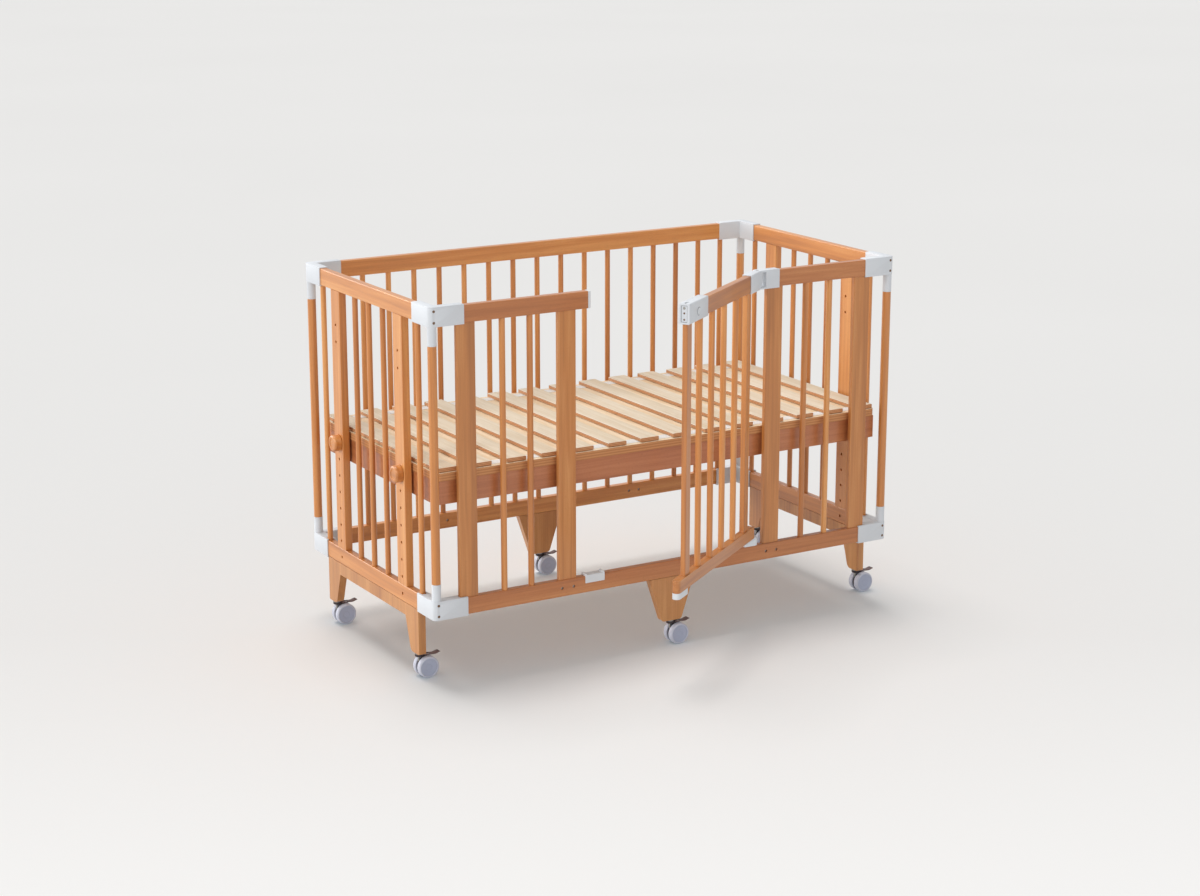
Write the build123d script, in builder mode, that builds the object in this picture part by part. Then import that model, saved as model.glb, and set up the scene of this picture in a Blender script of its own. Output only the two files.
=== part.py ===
"""Wooden crib with a swing gate, round corner posts, slatted bed base and six twin-wheel casters.

Millimetres, Z up from the floor. The origin is on the floor at the centre of the closed crib.
X runs along the front, Y from front to back. The gate is modelled 35 degrees open.
"""
from build123d import *
from math import cos, radians, sin
import os

os.makedirs("parts", exist_ok=True)

# Frame layout, between the axes of the round corner posts
post_span_x = 1220.0
post_span_y = 623.4
rail_t = 18.0
rail_h = 39.0
rail_edge = 2.0
bottom_rail_z = 166.0
top_rail_z = 824.7

# Fits between pieces that are glued, pressed or screwed together, and between pieces that turn
wood_fit = 0.1
turn_fit = 0.05
face_gap = 0.3

# Round corner posts and the moulded corners that hold them
post_r = 10.0
post_tenon_r = 8.0
post_tenon_inside = 6.0
sleeve_wall = 2.2
sleeve_arm = 73.0
socket_wall = 2.25
top_socket_length = 42.4
bottom_socket_length = 38.3
rail_setback = 14.0
sleeve_notch_depth = 17.0
corner_screw_pitch = 25.0
screw_head_r = 3.0
screw_head_t = 1.8
screw_shank_r = 1.5
screw_length = 11.0

# Spindles and flat boards between the rails
spindle_r = 6.5
front_spindle_r = 7.0
peg_depth = 12.0
peg_gap = 0.3
back_spindle_count = 17
back_spindle_margin = 64.8
end_spindle_inner_y = 71.5
end_spindle_margin = 67.2
stile_w = 45.0
stile_t = 12.0
stile_from_corner = 79.0
stile_inner_x = 279.0
board_edge = 1.5
tenon_inset = 5.0
tenon_t = 8.0
height_post_w = 45.0
height_post_t = 18.0
height_post_y = 161.0
height_hole_r = 3.4
height_hole_pitch = 40.0
height_hole_low = 224.0
height_holes_low_count = 7
height_hole_high = 704.0
height_holes_high_count = 2

# Through bolts in the bottom rails
bolt_hole_r = 3.5
bolt_length = 11.0
bolt_pair_x = 280.0
bolt_pair_pitch = 30.0
bolt_z = 186.0
end_bolt_z = 184.0

# Legs under the bottom rails
leg_foot_z = 59.0
leg_frame_inset = 73.7
apron_h = 29.0
leg_top_w = 65.0
leg_foot_w = 40.0
leg_inner_round = 14.0
leg_outer_round = 3.0
middle_leg_top_w = 124.0
middle_leg_foot_w = 52.0
middle_leg_round = 8.0
leg_bolt_r = 4.0
leg_bolt_depth = 20.0
middle_bolt_x = 32.0

# Bed base: slats on tapes, on a board, on four beams, held by four studs and knobs
knob_z = 464.0
board_side_gap_x = 13.0
board_side_gap_y = 15.7
board_t = 18.0
board_corner = 14.0
board_top_z = 490.0
beam_t = 18.0
beam_h = 54.0
side_beam_inset = 5.0
end_beam_inset = 1.0
slat_count = 14
slat_end_margin = 5.225
slat_w = 48.0
slat_t = 9.5
slat_inset = 6.0
tape_w = 28.0
tape_t = 0.8
tape_inset = 22.0
stud_r = 3.0
stud_in_beam = 14.0
stud_in_knob = 13.0
knob_r = 19.7
knob_t = 18.0
knob_rim = 5.0
knob_dish_r = 12.5
knob_dish = 1.6

# Gate and its two hinges
gate_open = 35.0
pivot_x = 233.0
hinge_pin_r = 4.0
ear_t = 4.0
hinge_bracket_end_x = 287.8
hinge_recess = 17.0
hinge_wall = 7.3
knuckle_gap = 1.2
gate_sleeve_end = 68.0
gate_sleeve_floor = 30.0
gate_stile_w = 26.0
gate_stile_t = 12.0
gate_stile_near = 66.0
gate_stile_far = 430.0
gate_spindle_r = 7.0
gate_spindle_count = 4
gate_rail_start = 18.0
gate_rail_tip = 487.0
gate_rail_t = 19.0
gate_rail_h = 28.5
gate_rail_z = 227.0
pivot_plate_t = 4.0
pivot_plate_w = 17.0
pivot_plate_end = 60.0
hinge_block_x = 204.0
hinge_block_r = 9.5
catch_start = 436.0
catch_h = 14.0
catch_wall = 2.6

# Latch housing on the gate's free end, with its button, bolt and thumb slide
housing_start = 341.0
housing_end = 449.0
housing_t = 26.0
housing_h = 45.4
housing_edge = 2.5
housing_pocket = 26.0
plate_w = 15.0
plate_h = 37.0
plate_recess = 1.2
latch_bolt_r = 3.0
latch_bolt_z = 857.5
latch_bolt_length = 42.0
latch_travel = 8.0
thumb_s = 434.0
thumb_l = 8.0
thumb_w = 6.0
thumb_t = 1.6
thumb_neck_r = 2.0
button_s = 395.0
button_z = 843.0
button_r = 8.0
button_length = 10.0
button_proud = 0.8
button_dish = 0.8
button_dish_r = 6.0
button_travel = 3.0
latch_screw_low_z = 832.5
latch_screw_high_z = 846.5
latch_screw_r = 2.2
latch_screw_length = 8.0

# Strike cap on the cut end of the front top rail, and the saddle on the front bottom rail
strike_x = -219.5
strike_cap_t = 6.8
strike_cap_edge = 1.5
saddle_x = -210.0
saddle_l = 50.0
saddle_t = 2.5
saddle_drop = 16.0
saddle_rim_w = 4.0
saddle_rim_h = 3.0

# Twin-wheel casters
caster_inset = 20.0
wheel_r = 25.0
wheel_t = 14.0
wheel_rim = 4.0
wheel_inner_round = 2.0
wheel_face_r = 20.5
wheel_face_dish = 0.8
web_t = 7.6
web_gap = 0.4
web_r = 21.0
web_shoulder_r = 4.0
web_shoulder_z = 51.5
web_back_x = -4.0
trail = 18.0
axle_r = 2.5
stem_r = 4.0
stem_length = 36.0
flange_r = 9.0
flange_t = 2.7
pintle_r = 2.5
pintle_length = 18.0
head_h = 5.7
pedal_pivot_x = 13.5
pedal_pivot_z = 53.2
pedal_root_r = 2.4
pedal_tip_x = 50.0
pedal_tip_z = 54.4
pedal_tip_r = 1.6
pedal_w = 18.0
pedal_slot_x = 27.0
pedal_pin_r = 1.5

# Places worked out from the sizes above
half_x = post_span_x / 2
half_y = post_span_y / 2
stile_outer_x = half_x - stile_from_corner
back_spindle_pitch = 2 * (half_x - back_spindle_margin) / (back_spindle_count - 1)
end_spindle_outer_y = half_y - end_spindle_margin
leg_frame_half = half_y - leg_frame_inset
caster_y = leg_frame_half - caster_inset
board_half_x = half_x - board_side_gap_x
board_half_y = half_y - board_side_gap_y
side_beam_face_y = board_half_y - side_beam_inset
end_beam_face_x = board_half_x - end_beam_inset
slat_pitch = (2 * (board_half_x - slat_end_margin) - slat_w) / (slat_count - 1)
slat_half_y = board_half_y - slat_inset
tape_y = slat_half_y - tape_inset
bottom_rail_top = bottom_rail_z + rail_h
top_rail_mid = top_rail_z + rail_h / 2
bottom_rail_mid = bottom_rail_z + rail_h / 2
clear_height = top_rail_z - bottom_rail_top
peg_low = bottom_rail_top - peg_depth
peg_length = clear_height + 2 * peg_depth
socket_low = peg_low - peg_gap
socket_length = peg_length + 2 * peg_gap
sleeve_half = rail_t / 2 + wood_fit + sleeve_wall
sleeve_h = rail_h + 2 * (wood_fit + sleeve_wall)
top_sleeve_z = top_rail_z - wood_fit - sleeve_wall
bottom_sleeve_z = bottom_rail_z - wood_fit - sleeve_wall
bottom_sleeve_top = bottom_sleeve_z + sleeve_h
socket_r = post_tenon_r + wood_fit + socket_wall
notch_t = 2 * max(spindle_r, stile_t / 2) + 2 * wood_fit
front_y = -half_y
front_face_y = front_y - rail_t / 2
stile_x = (-stile_outer_x, -stile_inner_x, stile_inner_x, stile_outer_x)
stile_points = [(x, front_y) for x in stile_x]
front_gap = (stile_outer_x - stile_inner_x - stile_w) / 3
front_spindle_x = [stile_inner_x + stile_w / 2 + front_gap * step for step in (1, 2)]
front_spindle_points = [(side * x, front_y) for side in (-1, 1) for x in front_spindle_x]
back_first_x = -back_spindle_pitch * (back_spindle_count - 1) / 2
back_spindle_points = [(back_first_x + back_spindle_pitch * i, half_y) for i in range(back_spindle_count)]
end_spindle_y = (-end_spindle_outer_y, -end_spindle_inner_y, 0, end_spindle_inner_y, end_spindle_outer_y)
end_spindle_points = [(side * half_x, y) for side in (-1, 1) for y in end_spindle_y]
height_post_points = [(side * half_x, y) for side in (-1, 1) for y in (-height_post_y, height_post_y)]
bolt_x = [side * bolt_pair_x + step * bolt_pair_pitch / 2 for side in (-1, 1) for step in (-1, 1)]
low_holes_z = [height_hole_low + height_hole_pitch * i for i in range(height_holes_low_count)]
high_holes_z = [height_hole_high + height_hole_pitch * i for i in range(height_holes_high_count)]
stile_tenon_w = stile_w - 2 * tenon_inset
post_tenon_w = height_post_w - 2 * tenon_inset
gate_tenon_w = gate_stile_w - 2 * tenon_inset
beam_z = board_top_z - board_t - beam_h
slat_z = board_top_z + tape_t


def gate_point(along, outward=0.0, z=0.0):
    """Point on the open gate, measured from the hinge axis along it and out from its middle plane."""
    turn = radians(gate_open)
    x = pivot_x - along * cos(turn) + outward * sin(turn)
    y = front_y - along * sin(turn) - outward * cos(turn)
    return (x, y, z)


gate_along = Vector(*gate_point(1)) - Vector(*gate_point(0))
gate_outward = Vector(*gate_point(0, 1)) - Vector(*gate_point(0))


def gate_level(z):
    """Level plane with its X along the gate and its Y outward."""
    return Plane(origin=gate_point(0, 0, z), x_dir=gate_along, z_dir=(0, 0, 1))


def gate_section(along):
    """Upright plane across the gate, with its X outward and its Y up."""
    return Plane(origin=gate_point(along), x_dir=gate_outward, z_dir=gate_along)


def gate_face(outward):
    """Upright plane along the gate, with its X along it, its Y up, and its normal inward."""
    return Plane(origin=gate_point(0, outward), x_dir=gate_along, z_dir=-gate_outward)


def x_rail(x_low, x_high, y, z_low):
    """Straight wooden rail along X with eased long edges."""
    with BuildPart() as rail:
        with BuildSketch(Plane.YZ.offset(x_low)):
            with Locations((y, z_low + rail_h / 2)):
                RectangleRounded(rail_t, rail_h, rail_edge)
        extrude(amount=x_high - x_low)
    return rail.part


def y_rail(x, z_low):
    """Straight wooden rail along Y between two corners."""
    length = post_span_y - 2 * rail_setback
    with BuildPart() as rail:
        with BuildSketch(Plane.XZ.offset(-length / 2)):
            with Locations((x, z_low + rail_h / 2)):
                RectangleRounded(rail_t, rail_h, rail_edge)
        extrude(amount=length)
    return rail.part


def finish(builder, name):
    """Label a finished piece and write it under its own name."""
    builder.part.label = name
    export_step(builder.part, f"parts/{name}.step")


# Round corner posts, turned down at both ends to sit in the corner sockets
post_low = bottom_sleeve_top + bottom_socket_length
post_high = top_sleeve_z - top_socket_length
tenon_low = bottom_sleeve_top - post_tenon_inside
tenon_high = top_sleeve_z + post_tenon_inside
with BuildPart() as corner_posts:
    with BuildSketch(Plane.XY.offset(post_low)):
        with GridLocations(post_span_x, post_span_y, 2, 2):
            Circle(post_r)
    extrude(amount=post_high - post_low)
    with BuildSketch(Plane.XY.offset(tenon_low)):
        with GridLocations(post_span_x, post_span_y, 2, 2):
            Circle(post_tenon_r)
    extrude(amount=tenon_high - tenon_low)
finish(corner_posts, "corner_posts")


def corner_bracket(sleeve_z, rail_z, socket_from, socket_length, bore_low, bore_high, notch_z):
    """Moulded corner at the left front: two rail sleeves round a block, and a post socket."""
    with BuildPart() as bracket:
        with BuildSketch(Plane.XY.offset(sleeve_z)):
            with Locations((-half_x, front_y)):
                Circle(sleeve_half)
            with Locations((-half_x + sleeve_arm / 2, front_y)):
                Rectangle(sleeve_arm, 2 * sleeve_half)
            with Locations((-half_x, front_y + sleeve_arm / 2)):
                Rectangle(2 * sleeve_half, sleeve_arm)
        extrude(amount=sleeve_h)
        with BuildSketch(Plane.XY.offset(socket_from)):
            with Locations((-half_x, front_y)):
                Circle(socket_r)
        extrude(amount=socket_length)
        with BuildSketch(Plane.XY.offset(bore_low)):
            with Locations((-half_x, front_y)):
                Circle(post_tenon_r + wood_fit)
        extrude(amount=bore_high - bore_low, mode=Mode.SUBTRACT)
        with BuildSketch(Plane.YZ.offset(-half_x + rail_setback - face_gap)):
            with Locations((front_y, rail_z + rail_h / 2)):
                Rectangle(rail_t + 2 * wood_fit, rail_h + 2 * wood_fit)
        extrude(amount=sleeve_arm, mode=Mode.SUBTRACT)
        with BuildSketch(Plane.XZ.offset(half_y - rail_setback + face_gap)):
            with Locations((-half_x, rail_z + rail_h / 2)):
                Rectangle(rail_t + 2 * wood_fit, rail_h + 2 * wood_fit)
        extrude(amount=-sleeve_arm, mode=Mode.SUBTRACT)
        with BuildSketch(Plane.XY.offset(notch_z)):
            with Locations((-half_x + sleeve_arm - sleeve_notch_depth / 2, front_y)):
                Rectangle(sleeve_notch_depth, notch_t)
            with Locations((-half_x, front_y + sleeve_arm - sleeve_notch_depth / 2)):
                Rectangle(notch_t, sleeve_notch_depth)
        extrude(amount=sleeve_wall + 2 * wood_fit, mode=Mode.SUBTRACT)
        mid_z = sleeve_z + sleeve_h / 2
        with BuildSketch(Plane.XZ.offset(half_y + sleeve_half)):
            with Locations((-half_x, mid_z)):
                with GridLocations(1, corner_screw_pitch, 1, 2):
                    Circle(screw_head_r + turn_fit)
        extrude(amount=-screw_head_t, mode=Mode.SUBTRACT)
        with BuildSketch(Plane.XZ.offset(half_y + sleeve_half)):
            with Locations((-half_x, mid_z)):
                with GridLocations(1, corner_screw_pitch, 1, 2):
                    Circle(screw_shank_r + turn_fit)
        extrude(amount=-screw_length, mode=Mode.SUBTRACT)
    return bracket.part


# Upper corners: sockets point down, and the sleeves are notched underneath for spindles and stiles
with BuildPart() as top_corner_brackets:
    add(corner_bracket(
        sleeve_z=top_sleeve_z,
        rail_z=top_rail_z,
        socket_from=top_sleeve_z,
        socket_length=-top_socket_length,
        bore_low=post_high,
        bore_high=tenon_high + face_gap,
        notch_z=top_sleeve_z - wood_fit,
    ))
    mirror(about=Plane.YZ)
    mirror(about=Plane.XZ)
finish(top_corner_brackets, "top_corner_brackets")

# Lower corners: sockets point up, and the notches are on top
with BuildPart() as bottom_corner_brackets:
    add(corner_bracket(
        sleeve_z=bottom_sleeve_z,
        rail_z=bottom_rail_z,
        socket_from=bottom_sleeve_top,
        socket_length=bottom_socket_length,
        bore_low=tenon_low - face_gap,
        bore_high=post_low,
        notch_z=bottom_rail_top,
    ))
    mirror(about=Plane.YZ)
    mirror(about=Plane.XZ)
finish(bottom_corner_brackets, "bottom_corner_brackets")

# Two screws in the outer face of each corner, front and back
with BuildPart() as corner_screws:
    for mid_z in (bottom_rail_mid, top_rail_mid):
        with BuildSketch(Plane.XZ.offset(half_y + sleeve_half)):
            with Locations((-half_x, mid_z), (half_x, mid_z)):
                with GridLocations(1, corner_screw_pitch, 1, 2):
                    Circle(screw_head_r)
        extrude(amount=-screw_head_t)
        with BuildSketch(Plane.XZ.offset(half_y + sleeve_half)):
            with Locations((-half_x, mid_z), (half_x, mid_z)):
                with GridLocations(1, corner_screw_pitch, 1, 2):
                    Circle(screw_shank_r)
        extrude(amount=-screw_length + face_gap)
    mirror(about=Plane.XZ)
finish(corner_screws, "corner_screws")

# Back panel: two full-length rails and a row of spindles
rail_end_x = half_x - rail_setback
with BuildPart() as back_rails:
    add(x_rail(-rail_end_x, rail_end_x, half_y, bottom_rail_z))
    add(x_rail(-rail_end_x, rail_end_x, half_y, top_rail_z))
    with BuildSketch(Plane.XY.offset(socket_low)):
        with Locations(*back_spindle_points):
            Circle(spindle_r + wood_fit)
    extrude(amount=socket_length, mode=Mode.SUBTRACT)
    with BuildSketch(Plane.XZ.offset(-half_y - rail_t / 2)):
        with Locations(*[(x, bolt_z) for x in bolt_x]):
            Circle(bolt_hole_r)
    extrude(amount=rail_t, mode=Mode.SUBTRACT)
    with BuildSketch(Plane.XY.offset(bottom_rail_z)):
        with Locations((-middle_bolt_x, half_y), (middle_bolt_x, half_y)):
            Circle(leg_bolt_r + wood_fit)
    extrude(amount=leg_bolt_depth + face_gap, mode=Mode.SUBTRACT)
finish(back_rails, "back_rails")

with BuildPart() as back_spindles:
    with BuildSketch(Plane.XY.offset(peg_low)):
        with Locations(*back_spindle_points):
            Circle(spindle_r)
    extrude(amount=peg_length)
finish(back_spindles, "back_spindles")

# End panels: four rails, four height posts with the bed's bolt holes, and ten spindles
with BuildPart() as end_rails:
    for x in (-half_x, half_x):
        for z_low in (bottom_rail_z, top_rail_z):
            add(y_rail(x, z_low))
    with BuildSketch(Plane.XY.offset(socket_low)):
        with Locations(*end_spindle_points):
            Circle(spindle_r + wood_fit)
        with Locations(*height_post_points):
            Rectangle(tenon_t + 2 * wood_fit, post_tenon_w + 2 * wood_fit)
    extrude(amount=socket_length, mode=Mode.SUBTRACT)
    with BuildSketch(Plane.YZ.offset(-half_x - rail_t / 2)):
        with Locations((-height_post_y, end_bolt_z), (height_post_y, end_bolt_z)):
            Circle(bolt_hole_r)
    extrude(amount=post_span_x + rail_t, mode=Mode.SUBTRACT)
    with BuildSketch(Plane.XY.offset(bottom_rail_z)):
        with Locations(*height_post_points):
            Circle(leg_bolt_r + wood_fit)
    extrude(amount=end_bolt_z - bolt_hole_r - bottom_rail_z - face_gap, mode=Mode.SUBTRACT)
finish(end_rails, "end_rails")

with BuildPart() as height_posts:
    with BuildSketch(Plane.XY.offset(bottom_rail_top)):
        with Locations(*height_post_points):
            RectangleRounded(height_post_t, height_post_w, board_edge)
    extrude(amount=clear_height)
    with BuildSketch(Plane.XY.offset(peg_low)):
        with Locations(*height_post_points):
            Rectangle(tenon_t, post_tenon_w)
    extrude(amount=peg_length)
    with BuildSketch(Plane.YZ.offset(-half_x - height_post_t / 2)):
        for z in low_holes_z + [knob_z] + high_holes_z:
            with Locations((-height_post_y, z), (height_post_y, z)):
                Circle(height_hole_r)
    extrude(amount=post_span_x + height_post_t, mode=Mode.SUBTRACT)
finish(height_posts, "height_posts")

with BuildPart() as end_spindles:
    with BuildSketch(Plane.XY.offset(peg_low)):
        with Locations(*end_spindle_points):
            Circle(spindle_r)
    extrude(amount=peg_length)
finish(end_spindles, "end_spindles")

# Front panel: full bottom rail, two short top rails beside the doorway, four stiles, four spindles
strike_rail_end = strike_x - strike_cap_t
hinge_rail_end = pivot_x + hinge_recess + hinge_wall
with BuildPart() as front_rails:
    add(x_rail(-rail_end_x, rail_end_x, front_y, bottom_rail_z))
    add(x_rail(-rail_end_x, strike_rail_end, front_y, top_rail_z))
    add(x_rail(hinge_rail_end + face_gap, rail_end_x, front_y, top_rail_z))
    with BuildSketch(Plane.XY.offset(socket_low)):
        with Locations(*front_spindle_points):
            Circle(front_spindle_r + wood_fit)
        with Locations(*stile_points):
            Rectangle(stile_tenon_w + 2 * wood_fit, tenon_t + 2 * wood_fit)
    extrude(amount=socket_length, mode=Mode.SUBTRACT)
    with BuildSketch(Plane.XZ.offset(half_y - rail_t / 2)):
        with Locations(*[(x, bolt_z) for x in bolt_x]):
            Circle(bolt_hole_r)
    extrude(amount=rail_t, mode=Mode.SUBTRACT)
    with BuildSketch(Plane.XY.offset(bottom_rail_z)):
        with Locations((-middle_bolt_x, front_y), (middle_bolt_x, front_y)):
            Circle(leg_bolt_r + wood_fit)
    extrude(amount=leg_bolt_depth + face_gap, mode=Mode.SUBTRACT)
    with BuildSketch(Plane.YZ.offset(strike_rail_end)):
        with Locations((front_y, latch_bolt_z)):
            Circle(latch_bolt_r + wood_fit)
    extrude(amount=-latch_travel, mode=Mode.SUBTRACT)
finish(front_rails, "front_rails")

with BuildPart() as front_stiles:
    with BuildSketch(Plane.XY.offset(bottom_rail_top)):
        with Locations(*stile_points):
            RectangleRounded(stile_w, stile_t, board_edge)
    extrude(amount=clear_height)
    with BuildSketch(Plane.XY.offset(peg_low)):
        with Locations(*stile_points):
            Rectangle(stile_tenon_w, tenon_t)
    extrude(amount=peg_length)
finish(front_stiles, "front_stiles")

with BuildPart() as front_spindles:
    with BuildSketch(Plane.XY.offset(peg_low)):
        with Locations(*front_spindle_points):
            Circle(front_spindle_r)
    extrude(amount=peg_length)
finish(front_spindles, "front_spindles")

# Strike cap closing the cut end of the front top rail
with BuildPart() as strike_cap:
    with BuildSketch(Plane.YZ.offset(strike_rail_end)):
        with Locations((front_y, top_rail_mid)):
            RectangleRounded(rail_t + 2 * wood_fit, rail_h + 2 * wood_fit, rail_edge)
    extrude(amount=strike_cap_t)
    fillet(strike_cap.faces().sort_by(Axis.X)[-1].edges(), strike_cap_edge)
    with BuildSketch(Plane.YZ.offset(strike_rail_end)):
        with Locations((front_y, latch_bolt_z)):
            Circle(latch_bolt_r + wood_fit)
    extrude(amount=strike_cap_t, mode=Mode.SUBTRACT)
finish(strike_cap, "strike_cap")

# Saddle clipped over the front bottom rail under the gate's free end
with BuildPart() as strike_saddle:
    with BuildSketch(Plane.YZ.offset(saddle_x - saddle_l / 2)):
        with BuildLine():
            Polyline(
                (front_y + rail_t / 2, bottom_rail_top),
                (front_face_y, bottom_rail_top),
                (front_face_y, bottom_rail_top - saddle_drop),
                (front_face_y - saddle_t, bottom_rail_top - saddle_drop),
                (front_face_y - saddle_t, bottom_rail_top + saddle_t),
                (front_y + rail_t / 2, bottom_rail_top + saddle_t),
                close=True,
            )
        make_face()
    extrude(amount=saddle_l)
    with BuildSketch(Plane.XY.offset(bottom_rail_top + saddle_t)):
        for side in (-1, 1):
            with Locations((saddle_x + side * (saddle_l - saddle_rim_w) / 2, front_y - saddle_t / 2)):
                SlotOverall(rail_t + saddle_t, saddle_rim_w, rotation=90)
    extrude(amount=saddle_rim_h)
finish(strike_saddle, "strike_saddle")

# Upper hinge bracket: a sleeve on the short top rail with two ears round the hinge pin
with BuildPart() as upper_hinge_bracket:
    bracket_length = hinge_bracket_end_x - pivot_x
    with BuildSketch(Plane.XY.offset(top_sleeve_z)):
        with Locations((pivot_x, front_y)):
            Circle(sleeve_half)
        with Locations((pivot_x + bracket_length / 2, front_y)):
            Rectangle(bracket_length, 2 * sleeve_half)
    extrude(amount=sleeve_h)
    with BuildSketch(Plane.XY.offset(top_sleeve_z + ear_t)):
        with Locations((pivot_x, front_y)):
            Rectangle(2 * hinge_recess, 3 * sleeve_half)
    extrude(amount=sleeve_h - 2 * ear_t, mode=Mode.SUBTRACT)
    with BuildSketch(Plane.XY.offset(top_sleeve_z)):
        with Locations((pivot_x, front_y)):
            Circle(hinge_pin_r + turn_fit)
    extrude(amount=sleeve_h, mode=Mode.SUBTRACT)
    with BuildSketch(Plane.YZ.offset(hinge_rail_end)):
        with Locations((front_y, top_rail_mid)):
            Rectangle(rail_t + 2 * wood_fit, rail_h + 2 * wood_fit)
    extrude(amount=bracket_length, mode=Mode.SUBTRACT)
    with BuildSketch(Plane.XY.offset(top_sleeve_z - wood_fit)):
        with Locations((stile_inner_x, front_y)):
            Rectangle(stile_w + 2 * wood_fit, notch_t)
    extrude(amount=sleeve_wall + 2 * wood_fit, mode=Mode.SUBTRACT)
finish(upper_hinge_bracket, "upper_hinge_bracket")

# Lower hinge block on the front bottom rail
pivot_plate_z = gate_rail_z - pivot_plate_t
hinge_block_h = pivot_plate_z - face_gap - bottom_rail_top
with BuildPart() as lower_hinge_block:
    with BuildSketch(Plane.XY.offset(bottom_rail_top)):
        with Locations((pivot_x, front_y)):
            Circle(hinge_block_r)
        with Locations(((hinge_block_x + pivot_x) / 2, front_y)):
            Rectangle(pivot_x - hinge_block_x, 2 * hinge_block_r)
    extrude(amount=hinge_block_h)
    fillet(lower_hinge_block.edges().filter_by(Axis.Z).sort_by(Axis.X)[:2], board_edge)
    with BuildSketch(Plane.XY.offset(bottom_rail_top + face_gap)):
        with Locations((pivot_x, front_y)):
            Circle(hinge_pin_r + turn_fit)
    extrude(amount=hinge_block_h, mode=Mode.SUBTRACT)
finish(lower_hinge_block, "lower_hinge_block")

# Hinge pins: one through the upper ears, one standing in the lower block
with BuildPart() as hinge_pins:
    with BuildSketch(Plane.XY.offset(top_sleeve_z + face_gap)):
        with Locations((pivot_x, front_y)):
            Circle(hinge_pin_r)
    extrude(amount=sleeve_h - 2 * face_gap)
    with BuildSketch(Plane.XY.offset(bottom_rail_top + 2 * face_gap)):
        with Locations((pivot_x, front_y)):
            Circle(hinge_pin_r)
    extrude(amount=gate_rail_z - bottom_rail_top - 3 * face_gap)
finish(hinge_pins, "hinge_pins")

# Legs: an inverted U under each end and a tapered board under the middle of front and back
apron_z = bottom_rail_z - apron_h
leg_inner_top = leg_frame_half - leg_top_w
leg_inner_foot = leg_frame_half - leg_foot_w
with BuildPart() as end_leg_frames:
    with BuildSketch(Plane.YZ.offset(-half_x - rail_t / 2)) as leg_outline:
        with BuildLine():
            Polyline(
                (-leg_frame_half, bottom_rail_z),
                (-leg_frame_half, leg_foot_z),
                (-leg_inner_foot, leg_foot_z),
                (-leg_inner_top, apron_z),
                (leg_inner_top, apron_z),
                (leg_inner_foot, leg_foot_z),
                (leg_frame_half, leg_foot_z),
                (leg_frame_half, bottom_rail_z),
                close=True,
            )
        make_face()
        foot_corners = leg_outline.vertices().group_by(Axis.Y)[0].sort_by(Axis.X)
        fillet(foot_corners[1:3], leg_inner_round)
        foot_corners = leg_outline.vertices().group_by(Axis.Y)[0].sort_by(Axis.X)
        fillet([foot_corners[0], foot_corners[-1]], leg_outer_round)
    extrude(amount=rail_t)
    mirror(about=Plane.YZ)
    with BuildSketch(Plane.XY.offset(leg_foot_z)):
        with GridLocations(post_span_x, 2 * caster_y, 2, 2):
            Circle(stem_r + turn_fit)
    extrude(amount=stem_length + face_gap, mode=Mode.SUBTRACT)
    with BuildSketch(Plane.XY.offset(bottom_rail_z)):
        with Locations(*height_post_points):
            Circle(leg_bolt_r + wood_fit)
    extrude(amount=-leg_bolt_depth - face_gap, mode=Mode.SUBTRACT)
finish(end_leg_frames, "end_leg_frames")

with BuildPart() as middle_legs:
    with BuildSketch(Plane.XZ.offset(half_y - rail_t / 2)) as leg_board:
        with BuildLine():
            Polyline(
                (-middle_leg_top_w / 2, bottom_rail_z),
                (-middle_leg_foot_w / 2, leg_foot_z),
                (middle_leg_foot_w / 2, leg_foot_z),
                (middle_leg_top_w / 2, bottom_rail_z),
                close=True,
            )
        make_face()
        fillet(leg_board.vertices().group_by(Axis.Y)[0], middle_leg_round)
    extrude(amount=rail_t)
    mirror(about=Plane.XZ)
    with BuildSketch(Plane.XY.offset(leg_foot_z)):
        with GridLocations(1, post_span_y, 1, 2):
            Circle(stem_r + turn_fit)
    extrude(amount=stem_length + face_gap, mode=Mode.SUBTRACT)
    with BuildSketch(Plane.XY.offset(bottom_rail_z)):
        with GridLocations(2 * middle_bolt_x, post_span_y, 2, 2):
            Circle(leg_bolt_r + wood_fit)
    extrude(amount=-leg_bolt_depth - face_gap, mode=Mode.SUBTRACT)
finish(middle_legs, "middle_legs")

# Bolts: through the bottom rails, and upright ones that join the legs to them
end_bolt_up = end_bolt_z - bolt_hole_r - bottom_rail_z - 2 * face_gap
with BuildPart() as frame_bolts:
    for y in (-half_y, half_y):
        with BuildSketch(Plane.XZ.offset(-y - bolt_length / 2)):
            with Locations(*[(x, bolt_z) for x in bolt_x]):
                Circle(bolt_hole_r - turn_fit)
        extrude(amount=bolt_length)
    for x in (-half_x, half_x):
        with BuildSketch(Plane.YZ.offset(x - bolt_length / 2)):
            with Locations((-height_post_y, end_bolt_z), (height_post_y, end_bolt_z)):
                Circle(bolt_hole_r - turn_fit)
        extrude(amount=bolt_length)
    with BuildSketch(Plane.XY.offset(bottom_rail_z - leg_bolt_depth)):
        with Locations(*height_post_points):
            Circle(leg_bolt_r)
    extrude(amount=leg_bolt_depth + end_bolt_up)
    with BuildSketch(Plane.XY.offset(bottom_rail_z - leg_bolt_depth)):
        with GridLocations(2 * middle_bolt_x, post_span_y, 2, 2):
            Circle(leg_bolt_r)
    extrude(amount=2 * leg_bolt_depth)
finish(frame_bolts, "frame_bolts")

# Bed base board, with rounded corners
with BuildPart() as base_board:
    with BuildSketch(Plane.XY.offset(board_top_z - board_t)):
        RectangleRounded(2 * board_half_x, 2 * board_half_y, board_corner)
    extrude(amount=board_t)
finish(base_board, "base_board")

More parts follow.
